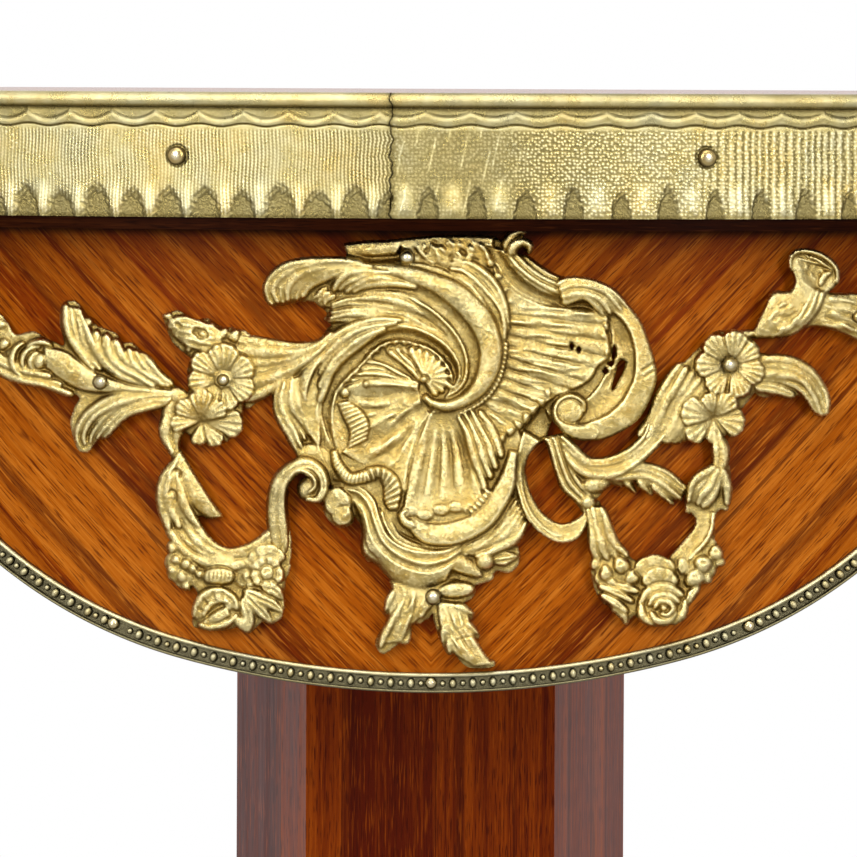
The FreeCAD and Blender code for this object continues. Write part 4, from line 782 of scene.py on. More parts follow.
class Relief:
    """Heights in millimetres over a part of the photograph, and where there is metal."""

    def __init__(self, x0, y0, x1, y1):
        self.x0, self.y0 = x0, y0
        self.shape = int((y1 - y0) / CELL_PX) + 1, int((x1 - x0) / CELL_PX) + 1
        self.height = np.zeros(self.shape)
        self.metal = np.zeros(self.shape, bool)

    def window(self, x, y, value):
        """Part of the field under a grid of points, the mean value in its cells, and the cells covered."""
        column = np.clip(np.rint((x - self.x0) / CELL_PX).astype(int), 2, self.shape[1] - 3).ravel()
        row = np.clip(np.rint((y - self.y0) / CELL_PX).astype(int), 2, self.shape[0] - 3).ravel()
        top, left = row.min() - 1, column.min() - 1
        size = row.max() - top + 2, column.max() - left + 2
        spot = (row - top) * size[1] + column - left
        count = np.bincount(spot, minlength=size[0] * size[1]).reshape(size)
        total = np.bincount(spot, weights=value.ravel(), minlength=size[0] * size[1]).reshape(size)
        hole = (count == 0) & (four_beside(count > 0) >= 3)
        known = np.maximum(np.where(hole, four_beside(count), count), 1)
        mean = np.where(hole, four_beside(total), total) / known
        return np.s_[top:top + size[0], left:left + size[1]], mean, (count > 0) | hole

    def lay(self, x, y, height, over=False):
        """Lays a form: the higher surface stays, unless the form goes over what is there."""
        part, mean, full = self.window(x, y, height)
        take = full & (over | (mean > self.height[part]))
        self.height[part][take] = mean[take]
        self.metal[part] |= full

    def emboss(self, x, y, rise):
        """Raises or sinks the surface that is there."""
        part, mean, full = self.window(x, y, rise)
        self.height[part] += mean * full

    def fill(self, outline, lift=None):
        """Fills a smooth closed outline to a height, or pierces it if there is none."""
        line = curve(list(outline) + [outline[0]], 14 * len(outline))
        x, y = (line[:, 0] - self.x0) / CELL_PX, (line[:, 1] - self.y0) / CELL_PX
        for row in range(max(int(y.min()), 1), min(int(y.max()) + 2, self.shape[0] - 1)):
            k = np.nonzero((y[:-1] <= row) != (y[1:] <= row))[0]
            cross = np.sort(x[k] + (row - y[k]) / (y[k + 1] - y[k]) * (x[k + 1] - x[k]))
            for start, end in zip(cross[::2], cross[1::2]):
                run = np.s_[row, max(int(np.ceil(start)), 1):min(int(end) + 1, self.shape[1] - 1)]
                self.metal[run] = lift is not None
                self.height[run] = 0.0 if lift is None else np.maximum(self.height[run], lift)

    def surface(self):
        """Smoothed heights, the patina and painted shade of each cell (below 0 on a rubbed crest), and the
        share of metal.
        """
        metal = self.metal.astype(float)

        def soft(sigma):
            """Mean height of the metal round each cell."""
            return blur(self.height * metal, sigma) / np.maximum(blur(metal, sigma), 0.02)

        floor = soft(5.0) - 0.9
        self.height = np.where(self.metal, np.maximum(self.height, floor), self.height)
        chance = np.random.default_rng(1000 + int(self.x0))
        grain = [blur(chance.normal(size=self.shape), sigma) for sigma in GRAIN_PX]
        height = soft(SOFTEN_PX) + sum(share * field / field.std() for share, field in zip(GRAIN_MM, grain))
        down, right = np.gradient(height, CELL_PX * MM_PER_PX)
        steep = np.hypot(down, right) - 0.35 * down
        level = soft(2.0)
        # Patina and painted shade lie in close and in wider hollows, painted shade on steep sides and most on
        # those that face down, and the crests are rubbed pale
        recess = 0.6 * np.clip((level - height) / 0.55, 0, 1)
        recess = recess + 0.35 * np.clip((soft(6.0) - height) / 1.8, 0, 1)
        recess = recess + 0.45 * np.clip((soft(16.0) - height) / 1.7, 0, 1)
        recess = np.clip(recess, 0, 1) * smooth(blur(metal, 2.5), 0.5, 0.9) + 0.4 * smooth(steep, 0.45, 1.7)
        recess = recess - np.clip((height - level) / 0.3, 0, 1)
        inside = smooth(blur(metal, 1.5), 0.46, 1.0)
        height = height * (0.45 + 0.55 * np.sqrt(inside))
        return height, np.clip(recess, -1, 1), blur(metal, 0.9)

    def mesh(self, cast):
        """Adds the field to a casting as a closed shell on the apron's curve."""
        height, recess, share = [field[::FACET_CELLS, ::FACET_CELLS] for field in self.surface()]
        keep = share > 0.5
        quad = keep[:-1, :-1] & keep[1:, :-1] & keep[1:, 1:] & keep[:-1, 1:]
        for _ in range(3):
            quad[:-1, :-1] &= ~(quad[1:, 1:] & ~quad[:-1, 1:] & ~quad[1:, :-1])
            quad[:-1, 1:] &= ~(quad[1:, :-1] & ~quad[:-1, :-1] & ~quad[1:, 1:])
        framed = np.pad(quad, 1)
        corners = np.stack([framed[:-1, :-1], framed[1:, :-1], framed[1:, 1:], framed[:-1, 1:]])
        used, rim = corners.any(axis=0), corners.any(axis=0) & ~corners.all(axis=0)
        y, x = np.indices(keep.shape) * CELL_PX * FACET_CELLS
        slope = np.gradient(share, CELL_PX * FACET_CELLS)
        pull = np.where(rim, (0.5 - share) / np.maximum(slope[0] ** 2 + slope[1] ** 2, 0.02), 0.0)
        x = self.x0 + x + np.clip(pull * slope[1], -0.9, 0.9)
        y = self.y0 + y + np.clip(pull * slope[0], -0.9, 0.9)
        number = np.cumsum(used).reshape(used.shape) - 1
        total = int(used.sum())
        i, j = np.nonzero(quad)
        a, b, c, d = number[i, j], number[i, j + 1], number[i + 1, j + 1], number[i + 1, j]
        faces = [np.stack([a, d, c, b], axis=1), np.stack([a, b, c, d], axis=1) + total]
        for p, q, joined in ((a, d, framed[i + 1, j]), (d, c, framed[i + 2, j + 1]),
                             (c, b, framed[i + 1, j + 2]), (b, a, framed[i, j + 1])):
            p, q = p[~joined], q[~joined]
            faces.append(np.stack([q, p, p + total, q + total], axis=1))
        x, y, height, recess = x[used], y[used], height[used], recess[used]
        points = np.concatenate([on_drum(x, y, height), on_drum(x, y, np.full(total, FOOT_LIFT))])
        cast.add(points, np.concatenate([recess, np.full(total, 0.6)]), faces)


def plate(relief, a, b, lift, crown=0.0, bow=1.0, flutes=0, cut=0.5, ribs=0,
          groove=0.5, edge=1.6, over=False):
    """Form between the edges a and b.

    lift gives heights along it, one number or one for each edge. crown bulges it between the edges, or
    hollows it if negative. Flutes run along it and ribs across it.
    """
    length = max(run_length(a), run_length(b))
    line_a, line_b = [curve(line, max(int(length / SAMPLE_PX), 6)) for line in (a, b)]
    wide = np.hypot(*(line_b - line_a).T)[:, None]
    t = np.linspace(0, 1, len(line_a))[:, None]
    q = np.linspace(0, 1, max(int(wide.max() / SAMPLE_PX), 6))[None]
    x, y = [line_a[:, k:k + 1] * (1 - q) + line_b[:, k:k + 1] * q for k in (0, 1)]
    pairs = np.array([(h, h) if np.isscalar(h) else h for h in lift], float)
    height = table(pairs[:, 0], t) * (1 - q) + table(pairs[:, 1], t) * q + crown * (4 * q * (1 - q)) ** bow
    if flutes:
        height = height - cut * (1 - np.abs(np.sin(np.pi * flutes * q))) ** 1.6
    if ribs:
        height = height - groove * (1 - np.abs(np.sin(np.pi * ribs * t))) ** 1.6
    near = np.minimum(np.minimum(q, 1 - q) * wide, np.minimum(t, 1 - t) * length)
    near = np.clip(1 - near / edge, 0, 1)
    height = height - edge * MM_PER_PX * 1.2 * (1 - np.sqrt(1 - near ** 2))
    relief.lay(x, y, height, over)


def beside(spine, widths):
    """The two edges of a strip of changing width along a spine."""
    count = int(np.clip(run_length(spine) / 2, 8, 90))
    line = curve(spine, count)
    way = np.gradient(line, axis=0)
    way /= np.maximum(np.hypot(way[:, 0], way[:, 1]), 1e-6)[:, None]
    half = np.maximum(table(widths, np.linspace(0, 1, count)), 0.8)[:, None] / 2
    aside = np.stack([-way[:, 1], way[:, 0]], axis=1) * half
    return line + aside, line - aside


def strand(relief, spine, widths, lift, crown=0.8, **shape):
    """Rounded strip of changing width along a spine, with rounded ends."""
    line = curve(spine, int(np.clip(run_length(spine) / 2, 8, 90)))
    t = np.linspace(0, 1, len(line))
    width = table(widths, t)
    tip = np.clip(np.minimum(t, 1 - t) * run_length(line) / np.maximum(0.6 * width, 0.5), 0, 1)
    width = width * np.sqrt(np.clip(1 - (1 - tip) ** 2, 0.03, 1))
    plate(relief, *beside(line, width), lift, crown=crown, **shape)


def strands(relief, first, last, count, widths, lift, crown=0.8, **shape):
    """Row of strips spread between the first spine and the last, each worked a little differently."""
    a, b = curve(first, 14), curve(last, 14)
    t = np.linspace(0, 1, 14)
    for k in range(count):
        s = k / max(count - 1, 1)
        phase = 5.1 * k + a[0, 0]
        wander = np.stack([np.sin(9 * t + phase), np.cos(8 * t + 1.7 * phase)], axis=1) * 0.8
        width = table(widths, t) * (1.14 + 0.16 * np.sin(6 * t + 1.3 * phase))
        level = table(lift, t) + 0.28 * np.sin(3.7 * k + a[0, 1]) + 0.18 * np.sin(7 * t + phase)
        strand(relief, a * (1 - s) + b * s + wander, width, level, 0.85 * crown, **shape)


def stroke(relief, spine, width, rise, taper=0.2):
    """Ridge worked into the surface along a line, or a chased line where the rise is negative."""
    length = run_length(spine)
    line_a, line_b = beside(spine, [width, width])
    count = max(int(length / SAMPLE_PX), 8)
    line_a, line_b = curve(line_a, count), curve(line_b, count)
    t = np.linspace(0, 1, count)[:, None]
    v = np.linspace(-1, 1, max(int(width / SAMPLE_PX), 7))[None]
    x, y = [(line_a[:, k:k + 1] * (1 - v) + line_b[:, k:k + 1] * (1 + v)) / 2 for k in (0, 1)]
    ends = smooth(np.minimum(t, 1 - t), 0.0, taper) if taper else np.ones_like(t)
    relief.emboss(x, y, rise * (1 - v ** 2) ** 2 * ends)


def strokes(relief, first, last, count, width, rise, taper=0.2):
    """Row of strokes spread between the first line and the last."""
    a, b = curve(first, 12), curve(last, 12)
    for s in np.linspace(0, 1, count):
        stroke(relief, a * (1 - s) + b * s, width, rise, taper)


def ruffle(relief, first, last, count, width, rise, seed):
    """Short uneven strokes scattered between the first line and the last, some raised and some sunk."""
    chance = np.random.default_rng(seed)
    a, b = curve(first, 24), curve(last, 24)
    for s, begin, share in zip(chance.random(count), chance.integers(0, 15, count),
                               chance.uniform(-0.8, 1.0, count)):
        stroke(relief, (a * (1 - s) + b * s)[begin:begin + 10:2], width, rise * share, 0.45)


def boss(relief, x, y, wide, tall, rise, low=1.0, spin=0.0, flat=1.0, lobes=0, lobe=0.0, over=False):
    """Rounded boss, wide by tall pixels in radius; flat below 1 gives it a broad top and above 1 a point."""
    out = np.linspace(0, 1, max(int(max(wide, tall) / SAMPLE_PX), 6))[:, None]
    around = np.linspace(0, 2 * np.pi, max(int(6.3 * max(wide, tall) / SAMPLE_PX), 24))[None]
    ripple = 1 + lobe * (np.abs(np.cos(lobes * around / 2)) - 1)
    u, v = wide * out * ripple * np.cos(around), tall * out * ripple * np.sin(around)
    turned = math.radians(spin)
    height = low + (rise - low) * np.sqrt(np.clip(1 - out ** 2, 0, 1)) ** flat
    height = height - lobe * (1 - ripple) * out * 2 + 0 * u
    right = u * math.cos(turned) - v * math.sin(turned)
    down = u * math.sin(turned) + v * math.cos(turned)
    relief.lay(x + right, y + down, height, over)


def petal(relief, x, y, start, end, reach, low, rim, ribs, cut=0.45, over=False):
    """Ribbed petal that spreads from a centre between two angles in degrees and turns over at its end."""
    t = np.linspace(0, 1, max(int(reach / SAMPLE_PX), 8))[:, None]
    s = np.linspace(0, 1, max(int(math.radians(end - start) * reach / SAMPLE_PX), 8))[None]
    angle = np.radians(start + (end - start) * s)
    length = reach * (1 - 0.22 * np.abs(2 * s - 1) ** 2.3 - 0.03 * (1 - np.abs(np.sin(np.pi * ribs * s))))
    side = np.minimum(s, 1 - s) * math.radians(end - start) * reach * t
    near = np.clip(1 - side / 3.0, 0, 1)
    height = low + (rim - low) * np.sin(np.pi * 0.66 * t ** 0.9) + 0.5 * (1 - (2 * s - 1) ** 2) * t
    height = height - cut * (1 - np.abs(np.sin(np.pi * ribs * s))) ** 1.2 * np.sqrt(t)
    height = height - 0.8 * (1 - np.sqrt(1 - near ** 2)) * np.minimum(3 * t, 1)
    relief.lay(x + np.cos(angle) * length * t, y - np.sin(angle) * length * t, height, over)


def flower(relief, x, y, petals):
    """Open flower: rows of (start, end, reach, low, rim, ribs), the petals in front last."""
    for start, end, reach, low, rim, ribs in petals:
        petal(relief, x, y, start, end, reach, low, rim, ribs, over=True)


def buds(relief, rows, low, lobe, squash, twist):
    """Small three-lobed buds, each turned its own way: rows of (x, y, radius, rise)."""
    for x, y, wide, rise in rows:
        boss(relief, x, y, wide, squash * wide, rise, low=low, spin=twist * x, lobes=3, lobe=lobe)


# Cartouche: outlines that several forms share, then its forms from the top down

ROLL_OUT = [(362, 262), (392, 264), (418, 268), (443, 276), (461, 284), (478, 298), (492, 315), (500, 336),
            (502, 356), (496, 377), (485, 393), (468, 405), (448, 411), (432, 407), (422, 399)]
ROLL_IN = [(362, 268), (388, 276), (412, 284), (432, 292), (447, 303), (461, 316), (471, 329), (478, 345),
           (479, 362), (474, 380), (466, 391), (454, 399), (443, 401), (433, 399), (426, 394)]
SECOND = [(362, 290), (386, 292), (408, 297), (428, 308), (444, 321), (456, 335), (464, 350), (467, 366),
          (464, 381), (456, 391), (446, 396)]
THIRD = [(360, 318), (384, 325), (404, 326), (420, 330), (434, 337), (446, 346), (455, 358),
         (459, 370), (457, 382), (448, 392)]
COVE_OUT = [(332, 474), (322, 456), (318, 436), (316, 412), (321, 392), (329, 375), (343, 358), (361, 343),
            (382, 331), (398, 327), (414, 328), (430, 335), (444, 345), (454, 358), (458, 371), (456, 383)]
COVE_IN = [(350, 478), (339, 458), (334, 436), (333, 412), (338, 392), (348, 379), (362, 366), (371, 355),
           (384, 345), (400, 342), (416, 345), (430, 350), (441, 359), (449, 370), (452, 380), (450, 386)]
BODY = [(343, 243), (370, 240), (393, 240), (412, 239), (428, 238), (445, 240), (462, 238), (476, 236),
        (490, 238), (500, 240), (520, 262), (545, 285), (575, 296), (606, 312), (600, 340), (604, 358),
        (590, 378), (560, 400), (545, 440), (530, 447), (520, 460), (517, 478), (519, 497), (525, 514),
        (524, 530), (514, 542), (500, 548), (478, 570), (460, 580), (440, 584), (421, 588), (403, 585),
        (388, 576), (377, 562), (368, 562), (363, 552), (363, 535), (364, 526), (357, 520), (352, 510),
        (340, 500), (332, 486), (326, 478), (318, 470), (300, 458), (296, 454), (287, 441), (278, 420),
        (275, 404), (276, 385), (281, 379), (300, 364), (320, 346), (331, 329), (329, 322), (323, 319),
        (327, 315), (324, 309), (317, 304), (322, 290), (338, 272), (350, 258)]
CREST = [(424, 247, 7, 4, 5.4), (448, 244, 7, 4, 5.6), (470, 246, 7, 5, 6.0), (458, 260, 8, 4, 6.2),
         (432, 262, 7, 4, 5.8), (488, 246, 7, 5, 5.8), (490, 262, 7, 5, 6.0), (498, 276, 6, 5, 5.8),
         (505, 290, 6, 5, 5.6), (510, 301, 6, 5, 5.6)]


def ground(relief):
    """Ground of the cartouche, higher under the shell."""
    relief.fill(BODY, 2.2)
    relief.fill([(316, 400), (330, 376), (360, 344), (400, 328), (445, 344), (462, 382), (500, 400),
                 (521, 440), (510, 480), (484, 530), (440, 543), (400, 532), (372, 500),
                 (340, 478), (318, 450)], 4.8)


def acanthus_head(relief):
    """Acanthus leaves at the upper left, that run into the great roll."""
    plate(relief, [(344, 244), (370, 241), (402, 239)],
          [(347, 257), (372, 256), (398, 254)], [3.6, 4.0, 4.2], 0.5)
    relief.fill([(273, 307), (264, 292), (270, 278), (282, 266), (303, 260), (338, 257), (362, 259),
                 (380, 272), (352, 296), (334, 306), (322, 307), (313, 302), (300, 302), (288, 305)], 3.8)
    strands(relief, [(274, 305), (267, 292), (272, 278), (286, 267), (306, 262), (332, 260), (362, 262)],
            [(302, 299), (305, 291), (311, 284), (322, 277), (336, 272), (352, 270), (384, 272)], 7,
            [7, 8.5, 9, 8.5, 8, 7, 5], [4.6, 5.8, 6.6, 7.1, 7.2, 7.0, 6.6], 0.9)
    strands(relief, [(312, 301), (318, 294), (328, 288)], [(324, 305), (328, 299), (336, 294)], 3,
            [5, 6, 4], [3.8, 4.4, 4.6], 0.6)
    strands(relief, [(333, 291), (338, 281), (350, 273), (368, 271), (392, 273)],
            [(352, 293), (363, 287), (378, 283), (396, 283), (418, 288)], 4, [5, 7.5, 8, 7, 5],
            [5.4, 7, 7.4, 7.2, 7.2], 0.9)
    strands(relief, [(331, 300), (350, 294), (382, 293), (410, 299), (432, 312)],
            [(328, 322), (350, 320), (380, 324), (404, 327), (424, 334)], 6, [4, 7, 8, 7, 4],
            [3.6, 5.4, 6.4, 6.6, 5.8], 0.7)


def crest(relief):
    """Rough crest along the top, with the ring round its pin."""
    plate(relief, [(398, 239), (430, 236), (462, 235), (494, 236)],
          [(410, 266), (434, 272), (462, 276), (490, 266)], [4.2, 4.8, 5.2, 5.0], 0.5)
    ruffle(relief, [(402, 238), (414, 250), (426, 270)],
           [(476, 237), (488, 250), (500, 268)], 46, 8, 1.3, 3)
    for x, y, wide, tall, rise in CREST:
        boss(relief, x, y, wide, tall, rise, low=3.6, spin=13 * x, flat=0.8, lobes=3, lobe=0.2)
    stroke(relief, [(405 + 9 * math.cos(a), 259 + 9 * math.sin(a)) for a in np.linspace(0.4, 5.9, 9)], 5,
           -0.9, 0.05)


def great_roll(relief):
    """Leaves along the great roll, the roll itself and the two hollows inside it."""
    plate(relief, [(384, 262), (412, 262), (440, 268), (462, 280)],
          [(390, 272), (414, 275), (440, 284), (456, 294)], [5.0, 5.4, 6.0, 6.4], 0.4)
    strands(relief, [(450, 264), (468, 262), (486, 275), (500, 293), (507, 311), (508, 330)],
            [(446, 274), (466, 284), (481, 299), (494, 318), (500, 334), (502, 350)], 5,
            [4, 6, 6.5, 6.5, 6, 4], [5.2, 6.2, 6.8, 6.8, 6.4, 5.6], 0.8)
    plate(relief, ROLL_OUT, ROLL_IN,
          [(4.6, 4.8), (6.4, 6.8), (7.2, 7.6), (7.9, 8.2), (8.2, 8.4), (8.4, 8.4), (8.2, 8.2), (7.6, 7.6),
           (6.6, 6.8)], 1.5, bow=0.7, edge=2.4)
    plate(relief, ROLL_IN[:-2], SECOND,
          [(4.8, 4.6), (6.8, 6.6), (7.4, 7.3), (7.8, 7.8), (8, 8), (8, 8), (7.6, 7.6), (6.8, 6.8)], -0.9,
          edge=0.8)
    plate(relief, SECOND, THIRD,
          [(4.8, 4.4), (6.6, 6.2), (7.3, 7), (7.8, 7.4), (8, 7.6), (7.8, 7.6), (7, 7)], -0.9, edge=0.8)
    stroke(relief, SECOND[2:], 5, 0.8, 0.15)
    stroke(relief, [(400, 309), (424, 318), (442, 332), (452, 346)], 5, -0.35)
    stroke(relief, [(398, 318), (420, 323), (436, 332)], 5, 0.35)


def spiral_cove(relief):
    """Deep cove inside the roll, its beaded lip, and the beads outside the roll."""
    plate(relief, COVE_OUT, COVE_IN,
          [(3.6, 3.8), (4.4, 4.6), (5.4, 5.4), (6.4, 6.2), (7.2, 6.8), (7.6, 7), (7.6, 7), (7.6, 7),
           (7.2, 6.8), (6.6, 6.4)], -1.9, over=True)
    stroke(relief, THIRD[1:], 4.5, 0.7, 0.15)
    stroke(relief, COVE_IN[4:], 5, 0.8, 0.06)
    for x, y in curve(COVE_IN[5:], 15):
        boss(relief, x, y, 4.2, 3.6, 7.0 + 0.5 * math.sin(3.1 * x), low=4.6, spin=17 * y)
    for x, y in curve([(506, 344), (505, 356), (500, 377), (488, 396), (470, 409), (450, 415), (434, 412)],
                      26):
        boss(relief, x, y, 3.4, 3.2, 7.0, low=3.6)


def left_arm(relief):
    """Ribs and leaf to the left of the spiral, and the arm to the left flower."""
    relief.fill([(244, 334), (262, 337), (277, 341), (294, 343), (308, 342), (320, 338), (331, 326),
                 (340, 340), (300, 380), (274, 392), (258, 402), (244, 404)], 2.2)
    strands(relief, [(232, 338), (270, 345), (297, 347), (318, 342), (332, 331)],
            [(238, 398), (262, 391), (282, 380), (302, 366), (326, 348)], 6, [10, 12, 10, 8, 5],
            [3.0, 3.6, 4.4, 5.2, 5.6], 0.8)
    relief.fill([(296, 382), (308, 362), (330, 344), (344, 348), (328, 374), (320, 400), (320, 444),
                 (308, 432), (298, 404)], 4.8)
    plate(relief, [(328, 346), (314, 358), (302, 372), (296, 390)],
          [(322, 360), (313, 374), (308, 388), (306, 402)], [(5.4, 6), (5.4, 6.2), (5, 6), (4.4, 5.2)], 0.4)
    strands(relief, [(279, 381), (277, 401), (281, 420), (291, 439), (300, 455)],
            [(298, 376), (295, 391), (298, 405), (305, 416), (311, 428)], 5, [6, 8, 8, 7, 5],
            [4.2, 4.6, 4.6, 4.0, 3.4], 0.9)
    plate(relief, [(303, 396), (308, 420), (314, 448), (322, 466)],
          [(326, 386), (322, 412), (330, 440), (344, 462)],
          [(4.4, 5.6), (4.0, 4.8), (3.6, 4.4), (3.2, 4.0)], -0.5)
    strands(relief, [(320, 349), (333, 338), (346, 330), (364, 323), (384, 320), (402, 320)],
            [(318, 402), (325, 386), (332, 371), (345, 355), (362, 341), (382, 330)], 5,
            [6, 9, 10, 8, 6, 4], [5.0, 5.8, 6.6, 7.2, 7.6, 7.6], 0.9)


def shell_hinge(relief):
    """Rays at the hinge of the shell, in the heart of the spiral."""
    relief.fill([(424, 380), (386, 352), (402, 344), (420, 346), (440, 356), (450, 372),
                 (450, 386), (438, 398)], 5.4)
    strands(relief, [(418, 384), (402, 377), (384, 368), (366, 362)],
            [(418, 388), (396, 386), (368, 385), (345, 388)], 5, [4, 8, 9, 7],
            [6.0, 5.2, 5.0, 5.4], 0.7, over=True)
    strands(relief, [(421, 380), (406, 364), (388, 350)], [(424, 376), (414, 360), (402, 346)], 3,
            [3, 6, 7], [6.4, 5.6, 5.2], 0.8, over=True)
    for x, y in curve([(410, 347), (420, 348), (430, 352), (438, 358), (445, 366), (449, 375), (450, 384),
                       (445, 391), (437, 396)], 10):
        strand(relief, [(425, 378), (0.45 * x + 0.55 * 425, 0.45 * y + 0.55 * 378), (x, y)],
               [3, 6, 9.5], [7.0, 6.4, 6.0], 0.7)
    boss(relief, 424, 379, 5, 4, 7.6, low=5.5, over=True)


def shell_lobes(relief):
    """Three hollow lobes of the shell, with ridges and a worked surface."""
    plate(relief, [(342, 389), (366, 387), (392, 386), (418, 388)],
          [(368, 430), (390, 419), (404, 409), (421, 401)],
          [(6.2, 6.0), (5.4, 5.2), (5.0, 5.0), (6.2, 6.2)], -1.0, edge=0.8, over=True)
    stroke(relief, [(350, 403), (384, 403), (414, 394)], 13, 0.7)
    stroke(relief, [(356, 416), (386, 411), (414, 398)], 9, 0.5)
    plate(relief, [(342, 452), (366, 432), (391, 418), (421, 401)],
          [(405, 492), (409, 462), (417, 436), (429, 413)],
          [(6.0, 6.0), (5.4, 5.4), (5.0, 5.0), (6.0, 6.0)], -1.3, edge=0.8, over=True)
    stroke(relief, [(362, 458), (392, 441), (422, 412)], 15, 0.8)
    stroke(relief, [(384, 472), (402, 450), (424, 414)], 10, 0.5)
    plate(relief, [(403, 516), (408, 482), (417, 446), (430, 413)],
          [(482, 504), (479, 470), (471, 440), (457, 412)],
          [(7.4, 7.4), (5.8, 5.8), (5.2, 5.2), (6.2, 6.2)], -1.0, edge=0.8, over=True)
    strokes(relief, [(430, 418), (422, 452), (414, 484), (408, 512)],
            [(454, 416), (467, 446), (474, 475), (478, 500)], 5, 13, 0.75, 0.3)
    strokes(relief, [(434, 420), (430, 450), (424, 484), (419, 512)],
            [(450, 418), (460, 446), (466, 478), (470, 506)], 4, 4, -0.3, 0.3)
    for x, y, rise in ((410, 511, 7.2), (425, 515, 7.4), (441, 510, 7.4), (456, 507, 7.2), (470, 508, 7.2)):
        boss(relief, x, y, 9, 6, rise, low=6.2, flat=0.7)
    ruffle(relief, [(352, 398), (384, 396), (414, 391)],
           [(396, 484), (408, 458), (424, 416)], 34, 7, 0.4, 8)


def shell_rim(relief):
    """Turned and ribbed edges of the shell."""
    relief.fill([(402, 508), (440, 504), (480, 500), (486, 510), (470, 522), (440, 528), (412, 524)], 6.4)
    strands(relief, [(458, 414), (468, 436), (478, 464), (484, 490)],
            [(478, 409), (488, 424), (496, 442), (503, 458)], 4, [5, 8, 9, 7],
            [6.0, 6.4, 6.8, 7.0], 0.9, over=True)
    plate(relief, [(337, 402), (344, 418), (350, 432), (347, 450)],
          [(349, 400), (362, 411), (369, 424), (367, 440)], [5.6, 7.0, 7.0, 5.8], 0.6,
          ribs=10, groove=1.0, over=True)
    plate(relief, *beside([(334, 450), (338, 465), (349, 478), (362, 477), (374, 473)],
                          [7, 10, 11, 11, 13]), [5.4, 6.4, 6.8, 7, 7], 0.8, ribs=15, groove=1.0, over=True)
    plate(relief, [(372, 480), (380, 478), (384, 488), (384, 500), (388, 510)],
          [(366, 468), (382, 467), (396, 476), (401, 490), (398, 510)],
          [(6.4, 7.2), (6.6, 7.8), (6.6, 7.8), (6.4, 7.4), (6, 6.6)], 0.6, ribs=9, groove=1.2, over=True)
    plate(relief, *beside([(470, 514), (481, 503), (490, 490)], [8, 10, 8]), [7, 7.6, 7.2], 0.4,
          ribs=6, groove=0.9, over=True)
    boss(relief, 345, 392, 6, 6, 7.0, low=4.5)
    boss(relief, 366, 384, 4, 4, 6.6, low=4.5)


def upper_cove(relief):
    """Hollow arm from the crest to the right, with a fluted outer side."""
    plate(relief, [(486, 246), (496, 265), (510, 286), (531, 299), (552, 306), (574, 308)],
          [(503, 250), (514, 266), (530, 280), (547, 290), (561, 294), (578, 298)],
          [(5.0, 6.6), (5.2, 7.0), (5.2, 7.0), (5.0, 6.6), (4.6, 5.8), (4.2, 4.8)], -1.6, over=True)
    plate(relief, [(494, 266), (510, 287), (531, 300), (552, 307), (576, 309), (602, 311)],
          [(494, 300), (512, 306), (531, 310), (552, 313), (576, 315), (602, 316)],
          [(5.0, 5.2), (5.2, 5.4), (5.0, 5.4)], -0.2)
    plate(relief, [(503, 252), (514, 267), (530, 281), (547, 291), (564, 297), (586, 301)],
          [(529, 256), (541, 265), (556, 274), (574, 279), (590, 282), (608, 290)],
          [(6.8, 4.0), (7.0, 4.4), (6.6, 4.4), (6.0, 4.2), (5.2, 4.2), (4.2, 3.8)], 0.4,
          flutes=3, cut=0.9, over=True)
    strand(relief, [(505, 250), (509, 239), (517, 232), (526, 233)], [8, 10, 9, 5],
           [5.0, 5.8, 5.6, 4.2], 0.9)
    strand(relief, [(510, 256), (514, 246), (522, 242), (530, 246), (528, 254)], [9, 11, 10, 8, 5],
           [6.2, 7.2, 7.2, 6.4, 5.0], 0.9)


def fan(relief):
    """Ribbed fan with a ragged edge."""
    relief.fill([(596, 308), (622, 316), (636, 346), (635, 382), (622, 404), (594, 422), (570, 432),
                 (552, 420), (546, 404), (566, 386), (590, 366)], 3.6)
    plate(relief, [(606, 314), (612, 340), (606, 372), (590, 396), (566, 412)],
          [(622, 318), (634, 346), (632, 386), (612, 412), (580, 424)],
          [(5.0, 5.4), (4.8, 5.6), (4.6, 5.6), (4.8, 5.6), (5.0, 5.6)], -1.0)
    base = [(494, 303), (496, 313), (499, 323), (500, 334), (499, 346), (496, 358), (492, 367), (487, 375),
            (481, 383), (474, 390), (466, 396), (458, 402)]
    tip = [(604, 310), (608, 318), (606, 330), (609, 342), (609, 356), (598, 366), (590, 379), (576, 388),
           (556, 397), (538, 408), (520, 422), (504, 437)]
    plate(relief, base, tip, [(5.4, 5.6), (5.6, 6.0), (5.4, 5.6), (5.7, 6.1), (5.4, 5.5), (5.6, 6.0),
                              (5.4, 5.7), (5.6, 6.0)], -0.35, ribs=11, groove=0.62, edge=2.0)
    strokes(relief, [(506, 306), (540, 308), (572, 308), (602, 312)],
            [(506, 368), (540, 372), (568, 376), (592, 372)], 12, 5, 0.22, 0.4)
    strokes(relief, [(502, 376), (530, 380), (556, 384), (580, 386)],
            [(470, 408), (484, 418), (496, 428), (504, 434)], 7, 5, 0.22, 0.4)
    ruffle(relief, [(502, 306), (540, 308), (572, 309), (604, 312)],
           [(502, 370), (540, 374), (568, 378), (596, 374)], 60, 6, 0.6, 5)
    ruffle(relief, [(498, 378), (530, 382), (556, 386), (580, 388)],
           [(466, 408), (484, 420), (496, 430), (504, 436)], 30, 6, 0.6, 6)
    ruffle(relief, [(612, 316), (626, 346), (622, 380), (604, 404)],
           [(604, 320), (614, 346), (610, 374), (590, 400)], 20, 7, 0.4, 7)
    buds(relief, [(548, 393, 7, 6.4), (541, 401, 7, 6.8), (533, 409, 7, 6.6), (526, 417, 7, 6.8),
                  (518, 424, 7, 6.6), (510, 431, 7, 6.6), (502, 438, 6, 6.2), (606, 326, 5, 6.4),
                  (604, 336, 5, 6.2), (607, 352, 5, 6.4)], low=4.2, lobe=0.2, squash=0.75, twist=31)


